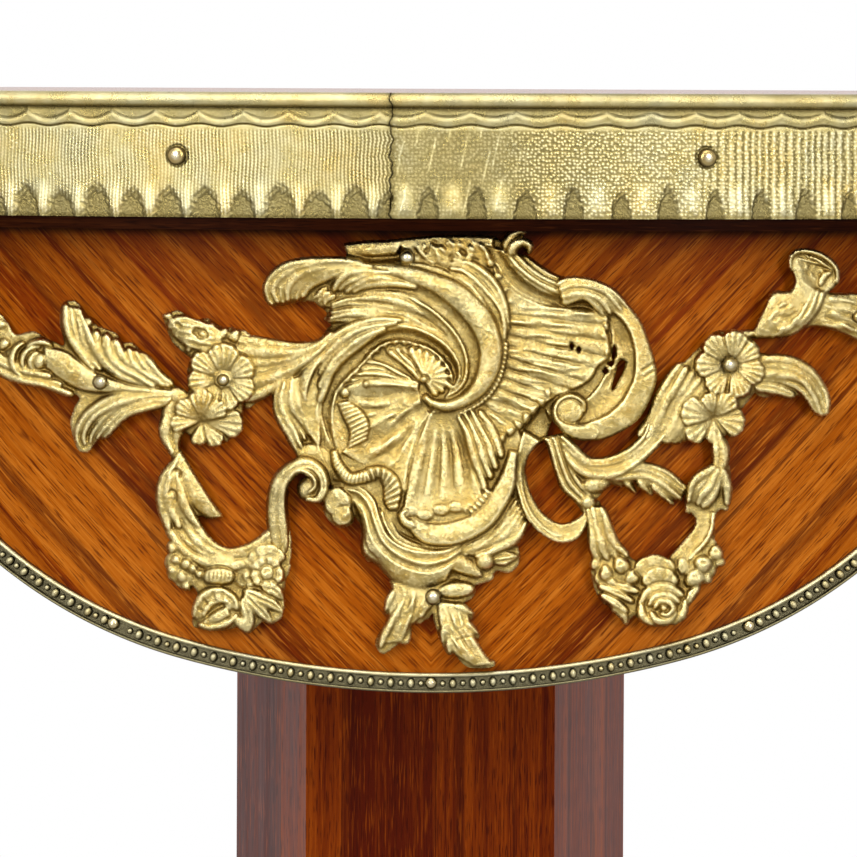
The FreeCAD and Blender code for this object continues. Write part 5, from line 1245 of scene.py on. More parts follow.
def right_scroll(relief):
    """C-scroll that closes the fan on the right."""
    outer = [(588, 282), (611, 290), (627, 303), (641, 321), (649, 341), (655, 361), (657, 378), (650, 399),
             (639, 418), (622, 431), (601, 440), (581, 440), (567, 434)]
    inner = [(592, 300), (607, 309), (620, 318), (629, 331), (634, 347), (635, 361), (634, 377), (629, 389),
             (622, 401), (608, 414), (592, 421), (581, 424), (574, 422)]
    plate(relief, outer, inner, [(4.6, 5.0), (5.4, 6.0), (5.8, 6.6), (6, 6.8), (6, 6.8), (6, 6.8), (6, 6.8),
                                 (6, 6.8), (6.2, 6.6), (6.4, 6.6)], 0.25, edge=2.2, over=True)
    strands(relief, [(556, 286), (572, 281), (592, 283), (612, 292), (630, 309)],
            [(562, 302), (576, 297), (588, 298), (598, 305), (604, 316)], 5, [6, 8, 8.5, 8, 4],
            [5.6, 6.6, 7.0, 6.8, 5.6], 0.8)
    stroke(relief, [(641, 371), (648, 367), (656, 362)], 3, -0.7, 0.1)
    stroke(relief, [(643, 378), (650, 373), (656, 370)], 3, -0.5, 0.1)
    strand(relief, [(600, 431), (580, 433), (565, 427), (556, 414), (559, 402), (571, 396), (583, 402),
                    (584, 412)], [18, 15, 12, 8, 6, 5, 4, 3],
           [6.4, 6.8, 7.2, 7.4, 7.4, 7.2, 7, 6.6], 0.4, over=True)
    boss(relief, 570, 411, 13, 12.5, 7.0, low=5.8, flat=0.4, over=True)


def casting_holes(relief):
    """Slits and small holes of the casting."""
    for slit in ([(626, 361), (622, 374), (613, 391), (612, 386), (616, 372), (619, 361)],
                 [(613, 346), (616, 347), (615, 359), (612, 358)],
                 [(608, 362), (614, 361), (613, 366), (609, 366)],
                 [(604, 368), (608, 369), (607, 374), (603, 373)],
                 [(570, 343), (574, 344), (573, 349), (570, 348)],
                 [(577, 347), (581, 347), (580, 352), (577, 351)]):
        relief.fill(slit)


def lower_scroll(relief):
    """C-scroll at the lower left."""
    strand(relief, [(282, 556), (278, 530), (276, 508), (278, 488), (287, 473), (303, 464), (318, 470),
                    (324, 485), (318, 499), (305, 499)], [18, 21, 21, 19, 18, 16, 13, 11, 9, 6],
           [3.2, 4, 4.8, 5.4, 6.2, 6.8, 7, 7, 6.6, 6], 0.9, flutes=2, cut=0.4, over=True)
    strand(relief, [(286, 556), (287, 530), (285, 506), (287, 490)], [6, 6, 6, 4],
           [2.4, 2.8, 3.0, 3.2], 0.3)
    boss(relief, 308, 489, 11, 12, 6.6, low=3.6, spin=20, flat=0.7)
    strand(relief, [(284, 478), (299, 471), (312, 476), (315, 486), (308, 493)], [4, 5, 5, 4, 3],
           [6.6, 7.2, 7.6, 7.4, 7], 0.6)
    strand(relief, [(296, 456), (314, 455), (330, 466), (342, 480)], [18, 22, 20, 12],
           [3.6, 4.0, 4.0, 4.2], 0.6)


def side_petal(relief):
    """Notched petal beside the scroll."""
    relief.fill([(333, 485), (344, 484), (356, 490), (356, 500), (350, 507), (354, 516), (351, 525),
                 (339, 528), (326, 517), (323, 504), (328, 492)], 4.4)
    boss(relief, 338, 502, 14, 15, 5.8, low=4.2, flat=0.4)
    boss(relief, 342, 516, 11, 10, 5.6, low=4.0, flat=0.4)
    stroke(relief, [(352, 508), (344, 506), (336, 508)], 4, -0.5)
    ruffle(relief, [(330, 494), (340, 506), (346, 522)],
           [(346, 490), (350, 500), (350, 518)], 12, 6, 0.5, 9)


def flowing_bands(relief):
    """Bands that flow round the foot of the shell."""
    first = [(346, 484), (362, 488), (374, 500), (380, 518), (387, 534), (400, 545),
             (420, 551), (444, 551), (462, 543)]
    second = [(342, 488), (358, 492), (369, 504), (375, 522), (383, 541), (400, 556),
              (424, 564), (446, 560), (462, 550)]
    third = [(352, 497), (360, 504), (366, 518), (371, 536), (381, 552), (400, 566),
             (424, 573), (442, 570), (458, 558)]
    fourth = [(354, 506), (360, 520), (361, 536), (362, 554), (376, 564), (390, 579),
              (406, 588), (424, 590), (446, 580)]
    cove = [(388, 508), (392, 522), (402, 536), (420, 544), (444, 545), (462, 540)]
    plate(relief, cove, [(380, 512), (387, 530), (399, 543), (420, 550), (444, 551), (462, 544)],
          [(5, 6), (5.4, 6.6), (5.8, 7), (6, 7.2), (6, 7), (5.8, 6.6)], -0.7, over=True)
    plate(relief, first, second,
          [(5, 4.8), (6.4, 6.2), (7.2, 6.8), (7.4, 7), (7.2, 6.8), (6.6, 6.2)], -0.5, over=True)
    plate(relief, second, third,
          [(4.8, 4.6), (6.2, 5.8), (6.8, 6.2), (6.8, 6.4), (6.6, 6.2), (6, 5.8)], -0.5, over=True)
    plate(relief, third, fourth,
          [(4.4, 3.6), (5.8, 3.6), (6.2, 3.8), (6.4, 4.2), (6.2, 4.4), (5.6, 4.6)], 0.6, over=True)
    stroke(relief, third, 4, 0.5, 0.1)
    stroke(relief, second, 4, 0.5, 0.1)
    strokes(relief, [(364, 524), (366, 546), (380, 562)], [(362, 528), (362, 552), (372, 562)], 2, 4, -0.4)


def shell_cup(relief):
    """Broad rim that holds the shell like a cup, and the leaves under it."""
    plate(relief, [(404, 523), (421, 541), (440, 545), (460, 543), (486, 530), (501, 513), (513, 491),
                   (517, 468), (518, 452)],
          [(413, 517), (428, 523), (446, 523), (468, 516), (483, 505), (492, 491), (499, 479), (505, 464),
           (509, 450)], [(6.4, 6.6), (7.6, 7.2), (8, 7.2), (8.2, 7.2), (8.2, 7.2), (8, 7.2), (7.4, 6.8),
                         (6.6, 6.4)], 0.7, edge=2.2, over=True)
    strand(relief, [(416, 526), (406, 522), (402, 514), (408, 510)], [10, 9, 7, 4],
           [7.2, 7.4, 7.2, 6.4], 0.7, over=True)
    strands(relief, [(452, 552), (476, 543), (500, 524), (517, 500)],
            [(474, 556), (494, 550), (514, 540), (527, 520)], 5, [6, 7.5, 8, 5], [4.8, 5.0, 4.8, 4.2], 0.8)


def knot(relief):
    """Knot of small leaves, and the boss over the feet."""
    relief.fill([(452, 556), (470, 556), (496, 548), (514, 543), (520, 552), (519, 564), (509, 573),
                 (496, 571), (493, 579), (484, 583), (475, 585), (462, 582)], 3.0)
    strand(relief, [(440, 562), (452, 560), (466, 566), (482, 576)], [16, 20, 16, 8],
           [4.6, 5.0, 4.2, 3.4], 0.8)
    strand(relief, [(492, 560), (504, 558), (518, 556)], [14, 16, 6],
           [3.8, 4.2, 3.2], 0.6, flutes=3, cut=0.6)
    boss(relief, 485, 561, 10, 9, 6.6, low=3.4, spin=-15)
    relief.fill([(436, 584), (452, 580), (468, 582), (476, 590), (470, 600), (455, 604), (438, 602)], 3.4)
    boss(relief, 456, 590, 19, 8, 5.4, low=3.4, spin=-4, flat=0.6)


def left_foot(relief):
    """Left of the two toothed leaves that hang from the foot of the cartouche."""
    boss(relief, 433, 588, 14, 9, 4.2, low=3.4, flat=0.7)
    relief.fill([(388, 580), (392, 592), (383, 612), (389, 616), (376, 638), (376, 647), (384, 654),
                 (399, 644), (406, 645), (411, 639), (412, 628), (414, 624), (420, 624), (425, 620),
                 (429, 618), (438, 600), (430, 586)], 3.9)
    plate(relief, [(392, 582), (391, 600), (386, 620), (379, 644)],
          [(436, 588), (432, 606), (413, 624), (402, 642)], [4.5, 4.9, 4.7, 4.2], 0.4, edge=2.0)
    strand(relief, [(394, 590), (389, 601), (385, 612)], [8, 9, 4], [4.8, 5.0, 4.2], 0.6)
    strand(relief, [(403, 600), (395, 616), (385, 634), (380, 648)], [6, 9, 10, 6],
           [5.0, 5.3, 5.0, 4.2], 0.7)
    strand(relief, [(414, 590), (411, 606), (406, 622), (402, 636)], [9, 11, 10, 6],
           [4.9, 5.2, 4.9, 4.2], 0.5)
    strand(relief, [(425, 594), (424, 606), (420, 618)], [10, 11, 6], [4.8, 5.0, 4.4], 0.5)


def right_foot(relief):
    """Right of the two toothed leaves."""
    relief.fill([(442, 600), (462, 603), (475, 614), (469, 624), (480, 634), (478, 642), (483, 655),
                 (495, 661), (492, 667), (472, 668), (462, 663), (454, 654), (448, 655), (441, 643),
                 (437, 632), (433, 616), (436, 604)], 3.9)
    plate(relief, [(437, 602), (440, 626), (451, 650), (474, 667)],
          [(465, 604), (471, 622), (477, 640), (492, 664)], [4.5, 5.0, 4.8, 4.2], 0.6, edge=2.0)
    for spine in ([(454, 606), (465, 610), (474, 614)], [(458, 620), (470, 627), (479, 634)],
                  [(464, 636), (474, 645), (482, 655)], [(448, 622), (444, 634), (443, 643)],
                  [(454, 634), (450, 646), (450, 654)]):
        strand(relief, spine, [9, 10, 4], [5.1, 5.0, 4.2], 0.4)
    stroke(relief, [(446, 606), (456, 630), (476, 658)], 4, -0.45)
    stroke(relief, [(453, 641), (464, 638), (477, 635)], 2.2, -0.5)


def foot_folds(relief):
    """Small folds of both leaves."""
    ruffle(relief, [(398, 590), (394, 612), (384, 644)],
           [(428, 594), (418, 612), (404, 636)], 40, 4, 0.35, 21)
    ruffle(relief, [(442, 606), (446, 630), (464, 658)],
           [(464, 608), (472, 632), (486, 660)], 46, 4, 0.4, 22)


def loop(relief):
    """Loop to the lower right."""
    loop_out = [(523, 430), (518, 453), (516, 476), (518, 494), (526, 516), (540, 533), (559, 543),
                (575, 540), (585, 528), (589, 516)]
    loop_in = [(541, 441), (530, 453), (526, 470), (530, 491), (541, 511), (556, 522), (570, 522),
               (581, 516), (584, 510), (586, 506)]
    plate(relief, loop_out, loop_in,
          [(5.6, 5.4), (6.2, 5.0), (6.4, 4.8), (6.4, 4.8), (6.2, 4.8), (6, 4.8), (5.6, 4.6), (5, 4.4)],
          -0.5, edge=2.2, over=True)
    stroke(relief, [(523, 453), (521, 476), (526, 502), (538, 522), (556, 535), (572, 533)], 4, 0.5)


def branch(relief):
    """Acanthus branch from the loop to the right-hand flowers."""
    plate(relief, [(541, 439), (546, 444), (553, 468), (561, 489), (576, 503), (583, 514)],
          [(562, 433), (566, 445), (572, 464), (581, 480), (593, 495), (598, 504)],
          [(5.4, 5.8), (5.2, 6.2), (4.8, 6), (4.6, 5.6), (4.4, 5), (4.2, 4.6)], 0.3, flutes=3, cut=0.9)
    strands(relief, [(560, 436), (574, 449), (588, 460), (608, 460), (628, 452), (644, 436), (650, 420)],
            [(566, 452), (576, 466), (594, 474), (614, 474), (636, 464), (656, 446), (668, 430)], 4,
            [6, 7, 7.5, 7, 7, 6, 5], [5.8, 6.2, 6.0, 5.4, 4.8, 4.2, 3.4], 0.8)
    relief.fill([(568, 456), (590, 470), (606, 480), (600, 496), (588, 500), (576, 484)], 4.2)
    strands(relief, [(590, 474), (616, 472), (640, 467), (664, 472), (687, 489)],
            [(606, 478), (630, 478), (646, 480), (662, 489), (682, 501)], 5, [5, 8, 9, 8, 3],
            [5.0, 4.8, 4.6, 4.2, 3.2], 0.8)
    for spine in ([(606, 474), (616, 482), (624, 486)], [(622, 476), (630, 486), (636, 494)],
                  [(638, 480), (646, 489), (653, 496)], [(652, 484), (662, 494), (674, 505)]):
        strand(relief, spine, [9, 8, 3], [4.8, 4.4, 2.8], 0.6)
    boss(relief, 596, 484, 15, 9, 6.4, low=3.6, spin=-12, flat=0.8)
    boss(relief, 588, 502, 9, 9, 5.8, low=3.0)


# Right-hand garland

def right_ground(relief):
    """Leaves and ground behind the right-hand flowers."""
    strands(relief, [(638, 438), (652, 420), (660, 396), (682, 362)],
            [(672, 444), (686, 430), (696, 412), (714, 384)], 6, [9, 10, 10, 8], [3.4, 3.8, 4.0, 3.4], 0.8)
    relief.fill([(672, 366), (684, 362), (700, 346), (714, 332), (728, 330), (745, 334), (756, 346),
                 (764, 372), (752, 396), (730, 420), (700, 440), (668, 440), (652, 424), (660, 396)], 3.2)
    relief.fill([(752, 352), (790, 357), (814, 371), (826, 394), (824, 414), (814, 404), (798, 396),
                 (780, 396), (756, 394)], 3.4)


def right_flowers(relief):
    """The two open flowers on the right."""
    boss(relief, 714, 420, 20, 18, 4.0, low=3.2, flat=0.7)
    flower(relief, 714, 418, [(-115, -60, 26, 3.4, 4.2, 3), (-50, 25, 32, 3.4, 4.4, 4),
                              (195, 245, 34, 3.2, 4.6, 3), (128, 200, 34, 3.2, 5.4, 4),
                              (20, 80, 30, 3.2, 5.4, 4), (78, 130, 26, 3.2, 5.6, 4)])
    boss(relief, 731, 368, 25, 25, 4.9, low=4.2, flat=0.7, over=True)
    flower(relief, 731, 366, [(200, 258, 33, 4.2, 5.6, 5), (-95, -40, 33, 4.2, 5.8, 5),
                              (150, 205, 36, 4.2, 6.0, 4), (-45, 15, 34, 4.2, 6.0, 5),
                              (12, 64, 34, 4.2, 6.2, 4), (102, 156, 37, 4.2, 6.4, 4),
                              (54, 106, 37, 4.2, 6.6, 4)])
    boss(relief, 731, 366, 10, 10, 5.4, low=4.2)


def right_leaf(relief):
    """Leaf that curls out to the right."""
    strands(relief, [(754, 358), (786, 361), (809, 370), (822, 386), (827, 402), (825, 416)],
            [(756, 380), (780, 380), (798, 387), (809, 398), (815, 408), (820, 416)], 4, [8, 9, 9, 8, 7, 5],
            [4.2, 4.9, 5.1, 4.8, 4.2, 3.4], 0.7)
    strand(relief, [(754, 386), (776, 389), (795, 396)], [13, 14, 10],
           [4.0, 4.4, 3.8], 0.8, flutes=2, cut=0.4)


def right_stem(relief):
    """Stem and folded leaf under the flowers."""
    strand(relief, [(716, 436), (720, 448), (720, 462), (714, 472)], [15, 19, 18, 14],
           [3.6, 4.4, 4.2, 3.8], 0.8, flutes=2, cut=0.5)
    relief.fill([(700, 470), (728, 462), (729, 508), (719, 510), (715, 522), (714, 540), (700, 556),
                 (680, 572), (669, 560), (681, 544), (694, 527), (693, 514), (685, 512), (687, 486)], 3.2)
    strands(relief, [(716, 466), (702, 474), (692, 487), (687, 502)],
            [(722, 470), (717, 486), (710, 498), (702, 508)], 4, [6, 9, 9, 5], [4.4, 5.0, 4.8, 3.4], 0.8)
    strand(relief, [(722, 468), (727, 486), (727, 506)], [8, 11, 7], [4.2, 4.4, 3.2], 0.8)
    plate(relief, [(700, 512), (695, 528), (684, 544), (672, 560)],
          [(716, 512), (713, 532), (704, 547), (690, 560)],
          [(3.4, 4.4), (3.4, 4.6), (3.4, 4.6), (3.6, 4.4)], -0.4)
    stroke(relief, [(713, 510), (711, 530), (702, 545), (690, 556)], 6, 0.6)
    relief.fill([(694, 544), (712, 538), (718, 550), (706, 562)], 3.8)


def right_berries(relief):
    """Ground, leaves and berries of the garland."""
    relief.fill([(584, 506), (598, 500), (607, 522), (616, 540), (633, 559), (645, 556), (660, 556),
                 (680, 566), (700, 560), (716, 546), (722, 556), (712, 572), (696, 588), (686, 602),
                 (677, 618), (664, 627), (648, 625), (634, 616), (626, 624), (618, 608), (604, 604),
                 (594, 588), (590, 568), (593, 544), (589, 522)], 3.2)
    boss(relief, 612, 573, 20, 17, 4.6, low=3.2, flat=0.6, lobes=5, lobe=0.16)
    boss(relief, 701, 568, 20, 15, 4.6, low=3.0, spin=-40, flat=0.6, lobes=5, lobe=0.16)
    for spine in ([(598, 586), (616, 592), (634, 602)], [(600, 594), (614, 602), (628, 612)],
                  [(612, 584), (626, 588), (640, 592)], [(700, 586), (692, 594), (686, 606)]):
        strand(relief, spine, [6, 11, 5], [4.2, 4.8, 4.0], 0.8, flutes=2, cut=0.5)
    strands(relief, [(588, 506), (591, 526), (594, 546), (600, 562)],
            [(600, 506), (608, 526), (616, 544), (628, 558)], 4, [7, 8, 9, 8], [4.4, 4.8, 4.6, 3.8], 0.8)
    for x, y, wide, tall, rise in ((621, 565, 9, 8, 6.4), (606, 573, 8, 7, 5.8), (632, 577, 8, 7, 5.6),
                                   (596, 564, 6, 6, 4.6), (612, 582, 7, 5, 5.2), (703, 564, 9, 9, 6.2),
                                   (716, 553, 7.5, 7.5, 5.6), (720, 562, 5, 5, 4.8), (695, 578, 10, 9, 6.0),
                                   (684, 566, 8, 7, 4.6), (706, 578, 6, 6, 4.8)):
        boss(relief, x, y, 1.12 * wide, 1.05 * tall, rise, low=3.8, spin=23 * x,
             flat=0.8, lobes=3, lobe=0.12)
    for x, y, rise in ((703, 564, 0.5), (695, 578, 0.4), (621, 565, 0.3), (716, 553, 0.4)):
        stroke(relief, [(x - 3, y), (x, y - 2), (x + 3, y)], 4, -rise)
    strand(relief, [(610, 602), (618, 608), (624, 616), (627, 625)], [12, 13, 10, 4],
           [3.8, 4.0, 3.6, 2.6], 0.7)


ROSE_X, ROSE_Y, ROSE_LIFT = 662, 605, 4.8
ROSE_PETALS = [
    ([(-23, 2), (-14, -12), (4, -17), (22, -9)], [5, 12, 13, 6], 0.3),
    ([(-21, -2), (-19, 11), (-8, 20)], [7, 11, 7], 0.2),
    ([(23, -6), (21, 8), (9, 19)], [6, 10, 7], 0.2),
    ([(-14, 1), (-6, -8), (8, -9), (18, -2)], [5, 10, 10, 5], 1.1),
    ([(-12, 6), (-5, 15), (7, 15), (15, 6)], [6, 9, 9, 6], 0.9),
    ([(-8, 4), (-3, -3), (7, -3), (11, 4), (5, 10), (-2, 8)], [5, 7, 7, 6, 5, 4], 1.7),
]


def right_rose(relief):
    """Full rose: petals behind it, and folded petals round a turned heart."""
    petal(relief, 655, 590, 40, 140, 36, 3.0, 4.6, 3, 0.3, over=True)
    petal(relief, 660, 594, 30, 150, 27, 3.4, 5.4, 5, 0.3, over=True)
    boss(relief, ROSE_X, ROSE_Y, 25, 21, ROSE_LIFT + 0.2, low=2.8, flat=0.6, lobes=5, lobe=0.1, over=True)
    for spine, widths, rise in ROSE_PETALS:
        crest_lift = ROSE_LIFT + rise
        strand(relief, [(ROSE_X + u, ROSE_Y + v) for u, v in spine], widths,
               [crest_lift - 0.5, crest_lift, crest_lift - 0.4], 0.7, over=True)
    boss(relief, ROSE_X + 2, ROSE_Y + 3, 4, 3.5, ROSE_LIFT + 2.0, low=ROSE_LIFT + 0.6, over=True)


# Left-hand garland

def left_buds(relief):
    """Buds above the left-hand flowers."""
    relief.fill([(162, 315), (170, 312), (178, 310), (188, 315), (198, 319), (208, 318), (221, 326),
                 (236, 328), (250, 334), (254, 350), (238, 360), (200, 364), (188, 356),
                 (173, 343), (167, 330)], 3.2)
    plate(relief, [(168, 316), (186, 316), (204, 322), (222, 330)],
          [(172, 336), (186, 346), (204, 352), (222, 350)], [3.4, 4.2, 4.4, 4.2], 0.8)
    strokes(relief, [(166, 320), (186, 318), (206, 324), (226, 332)],
            [(176, 338), (190, 346), (206, 350), (224, 350)], 5, 9, 0.6, 0.3)
    boss(relief, 177, 323, 9, 7, 5.0, low=3.8, spin=20, flat=0.6, lobes=4, lobe=0.2)
    boss(relief, 178, 325, 4.5, 2.8, 4.3, low=5.0, spin=30, lobes=3, lobe=0.3, over=True)
    boss(relief, 199, 332, 14, 10.5, 5.2, low=3.8, spin=22, flat=0.5, lobes=5, lobe=0.2)
    boss(relief, 200, 333, 9, 6, 4.1, low=5.2, spin=26, lobes=5, lobe=0.25, over=True)
    boss(relief, 203, 334, 5, 3.4, 5.2, low=4.2, spin=26, over=True)
    buds(relief, [(168, 316, 5, 4.2), (212, 328, 7, 5.0), (190, 346, 7, 4.6), (222, 334, 8, 5.0),
                  (234, 336, 8, 4.8), (212, 346, 7, 4.8), (187, 319, 5, 5.0), (188, 336, 6, 5.0),
                  (178, 334, 5, 4.6), (204, 348, 6, 4.8), (170, 326, 4, 4.4)], low=3.4,
         lobe=0.2, squash=0.8, twist=29)


def left_flowers(relief):
    """The two open flowers on the left, and the leaves beside them."""
    relief.fill([(187, 369), (192, 358), (212, 346), (238, 348), (254, 366), (256, 384), (244, 404),
                 (242, 424), (228, 441), (210, 444), (186, 433), (171, 424), (176, 406), (188, 392)], 3.2)
    boss(relief, 223, 381, 24, 24, 4.9, low=4.2, flat=0.7)
    flower(relief, 223, 379, [(205, 260, 32, 4.2, 5.2, 4), (-100, -52, 32, 4.2, 5.2, 3),
                              (160, 208, 36, 4.2, 5.8, 4), (-58, 4, 34, 4.2, 5.6, 5),
                              (0, 58, 34, 4.2, 6.0, 4), (120, 165, 38, 4.2, 6.2, 4),
                              (54, 124, 36, 4.2, 6.4, 5)])
    boss(relief, 223, 379, 10.5, 10.5, 6.2, low=4.2, flat=0.8, lobes=7, lobe=0.1)
    boss(relief, 176, 397, 10, 11, 4.8, low=3.0, flat=0.7)
    strand(relief, [(168, 392), (180, 398), (190, 406)], [16, 18, 14], [4.2, 4.4, 4.0], 0.6)
    strand(relief, [(172, 402), (168, 414), (168, 430)], [12, 14, 14], [4.2, 4.2, 4.0], 0.7)
    flower(relief, 201, 421, [(-32, 20, 43, 3.6, 4.4, 4), (-125, -72, 25, 3.4, 4.0, 2),
                              (-76, -30, 31, 3.4, 4.4, 3), (8, 62, 29, 3.6, 5.8, 4),
                              (164, 208, 31, 3.6, 5.4, 3), (116, 168, 30, 3.6, 5.8, 4),
                              (60, 120, 32, 3.6, 6.2, 4)])


def left_stem(relief):
    """Ground of the left-hand garland, its stem and folded leaf."""
    relief.fill([(161, 416), (180, 418), (180, 432), (179, 447), (183, 457), (196, 480), (210, 497),
                 (223, 517), (206, 517), (194, 518), (206, 535), (223, 546), (237, 547), (254, 542),
                 (270, 528), (290, 530), (291, 566), (286, 582), (284, 613), (272, 624), (262, 622),
                 (250, 633), (238, 628), (222, 631), (200, 629), (192, 622), (198, 598), (192, 586),
                 (180, 588), (172, 578), (164, 562), (172, 546), (165, 532), (160, 516), (158, 499),
                 (165, 478), (171, 462), (169, 450), (162, 441)], 3.4)
    strands(relief, [(164, 416), (165, 430), (168, 444), (173, 456)],
            [(178, 418), (177, 430), (176, 444), (175, 456)], 2, [8, 10, 9, 6], [3.8, 4.4, 4.2, 3.8], 0.8)
    plate(relief, [(181, 450), (195, 474), (209, 496), (223, 518)],
          [(173, 456), (178, 480), (188, 502), (207, 519)], [4.4, 5.0, 4.8, 3.2], 0.6, edge=2.4)
    strands(relief, [(177, 456), (167, 470), (162, 488), (162, 508), (170, 530)],
            [(180, 462), (178, 480), (182, 500), (192, 516), (200, 528)], 4, [5, 8, 9, 9, 7],
            [4.6, 5.2, 5.2, 4.6, 4.0], 0.8)
    stroke(relief, [(170, 478), (174, 470), (180, 472), (179, 480)], 4, -0.8)
    stroke(relief, [(167, 496), (172, 490), (176, 496), (174, 504)], 4, -0.7)


def left_berries(relief):
    """Swag, berries and the ribbed nut between them."""
    strands(relief, [(190, 518), (204, 537), (222, 549), (240, 550), (258, 543), (274, 530)],
            [(168, 528), (184, 550), (206, 562), (232, 566), (256, 560), (276, 546)], 4, [8, 9, 9, 9, 8, 6],
            [3.6, 4.0, 4.0, 4.0, 3.8, 3.4], 0.6)
    buds(relief, [(172, 548, 7, 4.8), (176, 560, 7, 5.0), (172, 570, 7, 4.6), (182, 576, 8, 5.0),
                  (192, 568, 7, 5.0), (186, 586, 6, 4.2), (200, 574, 6, 4.8), (246, 576, 7, 4.8),
                  (240, 564, 7, 4.6), (252, 566, 7, 5.0), (250, 584, 7, 4.6), (280, 586, 6, 4.0)], low=2.8,
         lobe=0.12, squash=0.85, twist=37)
    boss(relief, 186, 564, 7, 7, 5.8, low=3)
    boss(relief, 182, 566, 17, 20, 4.2, low=3.2, flat=0.6, lobes=5, lobe=0.16)
    boss(relief, 250, 574, 17, 18, 4.2, low=3.2, flat=0.6, lobes=5, lobe=0.16)
    boss(relief, 218, 562, 20, 10, 4.8, low=3, flat=0.6)
    boss(relief, 219, 576, 17, 10, 6.2, low=3, flat=0.7, over=True)
    strokes(relief, [(206, 570), (204, 576), (206, 582)],
            [(232, 570), (234, 576), (231, 582)], 8, 4, -0.45, 0.3)


def left_rosette(relief):
    """Small rosette and the leaves under it."""
    petal(relief, 268, 574, 40, 150, 30, 3.6, 4.8, 4, 0.4)
    for start in (20, 92, 164, 236, 308):
        petal(relief, 267, 573, start, start + 84, 17, 3.6, 5.2, 2, 0.35, over=True)
    boss(relief, 267, 573, 8, 8, 6.0, low=4.2, flat=0.8, over=True)
    stroke(relief, [(263, 574), (266, 570), (271, 571)], 4, -0.5)
    for spine in ([(244, 590), (258, 598), (272, 604), (284, 613)],
                  [(244, 594), (256, 606), (266, 616), (272, 624)],
                  [(242, 598), (247, 612), (249, 622), (250, 633)], [(262, 588), (274, 590), (284, 600)]):
        strand(relief, spine, [8, 14, 12, 4], [4.6, 5.0, 4.4, 3.0], 0.7)
        stroke(relief, spine, 3.5, -0.5)


def hooded_bud(relief):
    """Hooded bud at the foot of the garland."""
    boss(relief, 216, 609, 24, 20, 5.2, low=3.0, flat=0.6, lobes=5, lobe=0.08, over=True)
    strands(relief, [(194, 618), (197, 602), (208, 592), (222, 591), (234, 600), (236, 610)],
            [(204, 619), (206, 609), (213, 602), (221, 600), (228, 604), (231, 610)], 4, [4, 6, 7, 7, 6, 4],
            [4.6, 5.4, 5.9, 6.0, 5.7, 5.0], 0.5)
    for hinge, rim in (((203, 612), (196, 606)), ((208, 606), (202, 596)), ((215, 602), (212, 590)),
                       ((222, 602), (223, 590))):
        stroke(relief, [hinge, rim], 4, -0.5)
    plate(relief, [(202, 621), (213, 613), (226, 606)], [(205, 626), (219, 622), (231, 615)],
          [5.0, 6.0, 5.8], 0.4, over=True)
    stroke(relief, [(200, 621), (212, 611), (226, 604), (232, 611)], 3, -0.5)
    ruffle(relief, [(198, 606), (210, 596), (226, 596)],
           [(206, 614), (214, 606), (226, 605)], 18, 4, 0.4, 24)
    strand(relief, [(198, 624), (212, 627), (228, 622), (238, 614)], [6, 8, 8, 5],
           [4.6, 5.2, 5.2, 4.6], 0.6)
    plate(relief, [(236, 616), (246, 618), (255, 624)],
          [(234, 624), (240, 629), (248, 634)], [4.8, 5.0, 4.0], 0.4)


# Sprays at the sides

def spray_left_leaves(relief):
    """Ground and leaves of the left spray."""
    relief.fill([(178, 388), (164, 377), (151, 363), (144, 353), (131, 342), (123, 342), (116, 333),
                 (99, 326), (94, 323), (88, 317), (83, 308), (74, 300), (64, 302), (60, 311), (60, 325),
                 (64, 345), (55, 342), (46, 338), (33, 331), (15, 334), (8, 322), (-4, 312), (-20, 318),
                 (-46, 324), (-48, 332), (-30, 346), (-10, 362), (10, 378), (22, 385), (48, 389), (78, 396),
                 (74, 408), (70, 422), (73, 437), (78, 450), (88, 453), (96, 442), (103, 439), (112, 435),
                 (118, 423), (137, 412), (160, 406), (178, 402)], 3.2)
    strands(relief, [(65, 304), (67, 322), (72, 340), (82, 356), (96, 371)],
            [(79, 308), (84, 324), (90, 340), (99, 355), (114, 370)], 4, [6, 8, 8, 7, 4],
            [3.6, 4.6, 5.0, 4.8, 4.2], 0.9)
    boss(relief, 88, 322, 6, 6, 5.0, low=3)
    strands(relief, [(97, 330), (96, 344), (104, 360), (120, 375), (148, 387)],
            [(114, 338), (118, 351), (128, 364), (143, 375), (164, 386)], 3, [8, 10, 10, 8, 5],
            [4.2, 5.2, 5.2, 4.8, 4.2], 0.9)
    strands(relief, [(127, 348), (132, 360), (144, 372), (166, 387)],
            [(140, 352), (148, 362), (158, 372), (173, 386)], 3, [7, 9, 8, 5], [4.2, 5.0, 4.8, 4.0], 0.9)
    plate(relief, [(44, 346), (66, 352), (82, 363), (96, 373), (130, 384), (174, 390)],
          [(46, 368), (62, 380), (80, 389), (96, 392), (130, 394), (174, 396)],
          [4.4, 4.8, 4.8, 4.6, 4.4, 4.0], 1.0, bow=0.7)
    strands(relief, [(174, 394), (140, 394), (110, 400), (88, 414), (77, 434), (80, 449)],
            [(170, 402), (146, 407), (129, 414), (116, 424), (106, 434), (102, 438)], 5, [6, 8, 9, 9, 8, 4],
            [4.0, 4.6, 5.0, 4.8, 4.2, 3.0], 0.9)
    strands(relief, [(40, 368), (20, 366), (4, 360), (-20, 344), (-44, 328)],
            [(74, 394), (46, 386), (22, 381), (0, 370), (-24, 352)], 4, [6, 8, 8, 8, 5],
            [4.2, 4.4, 4.2, 3.6, 2.8], 0.8)


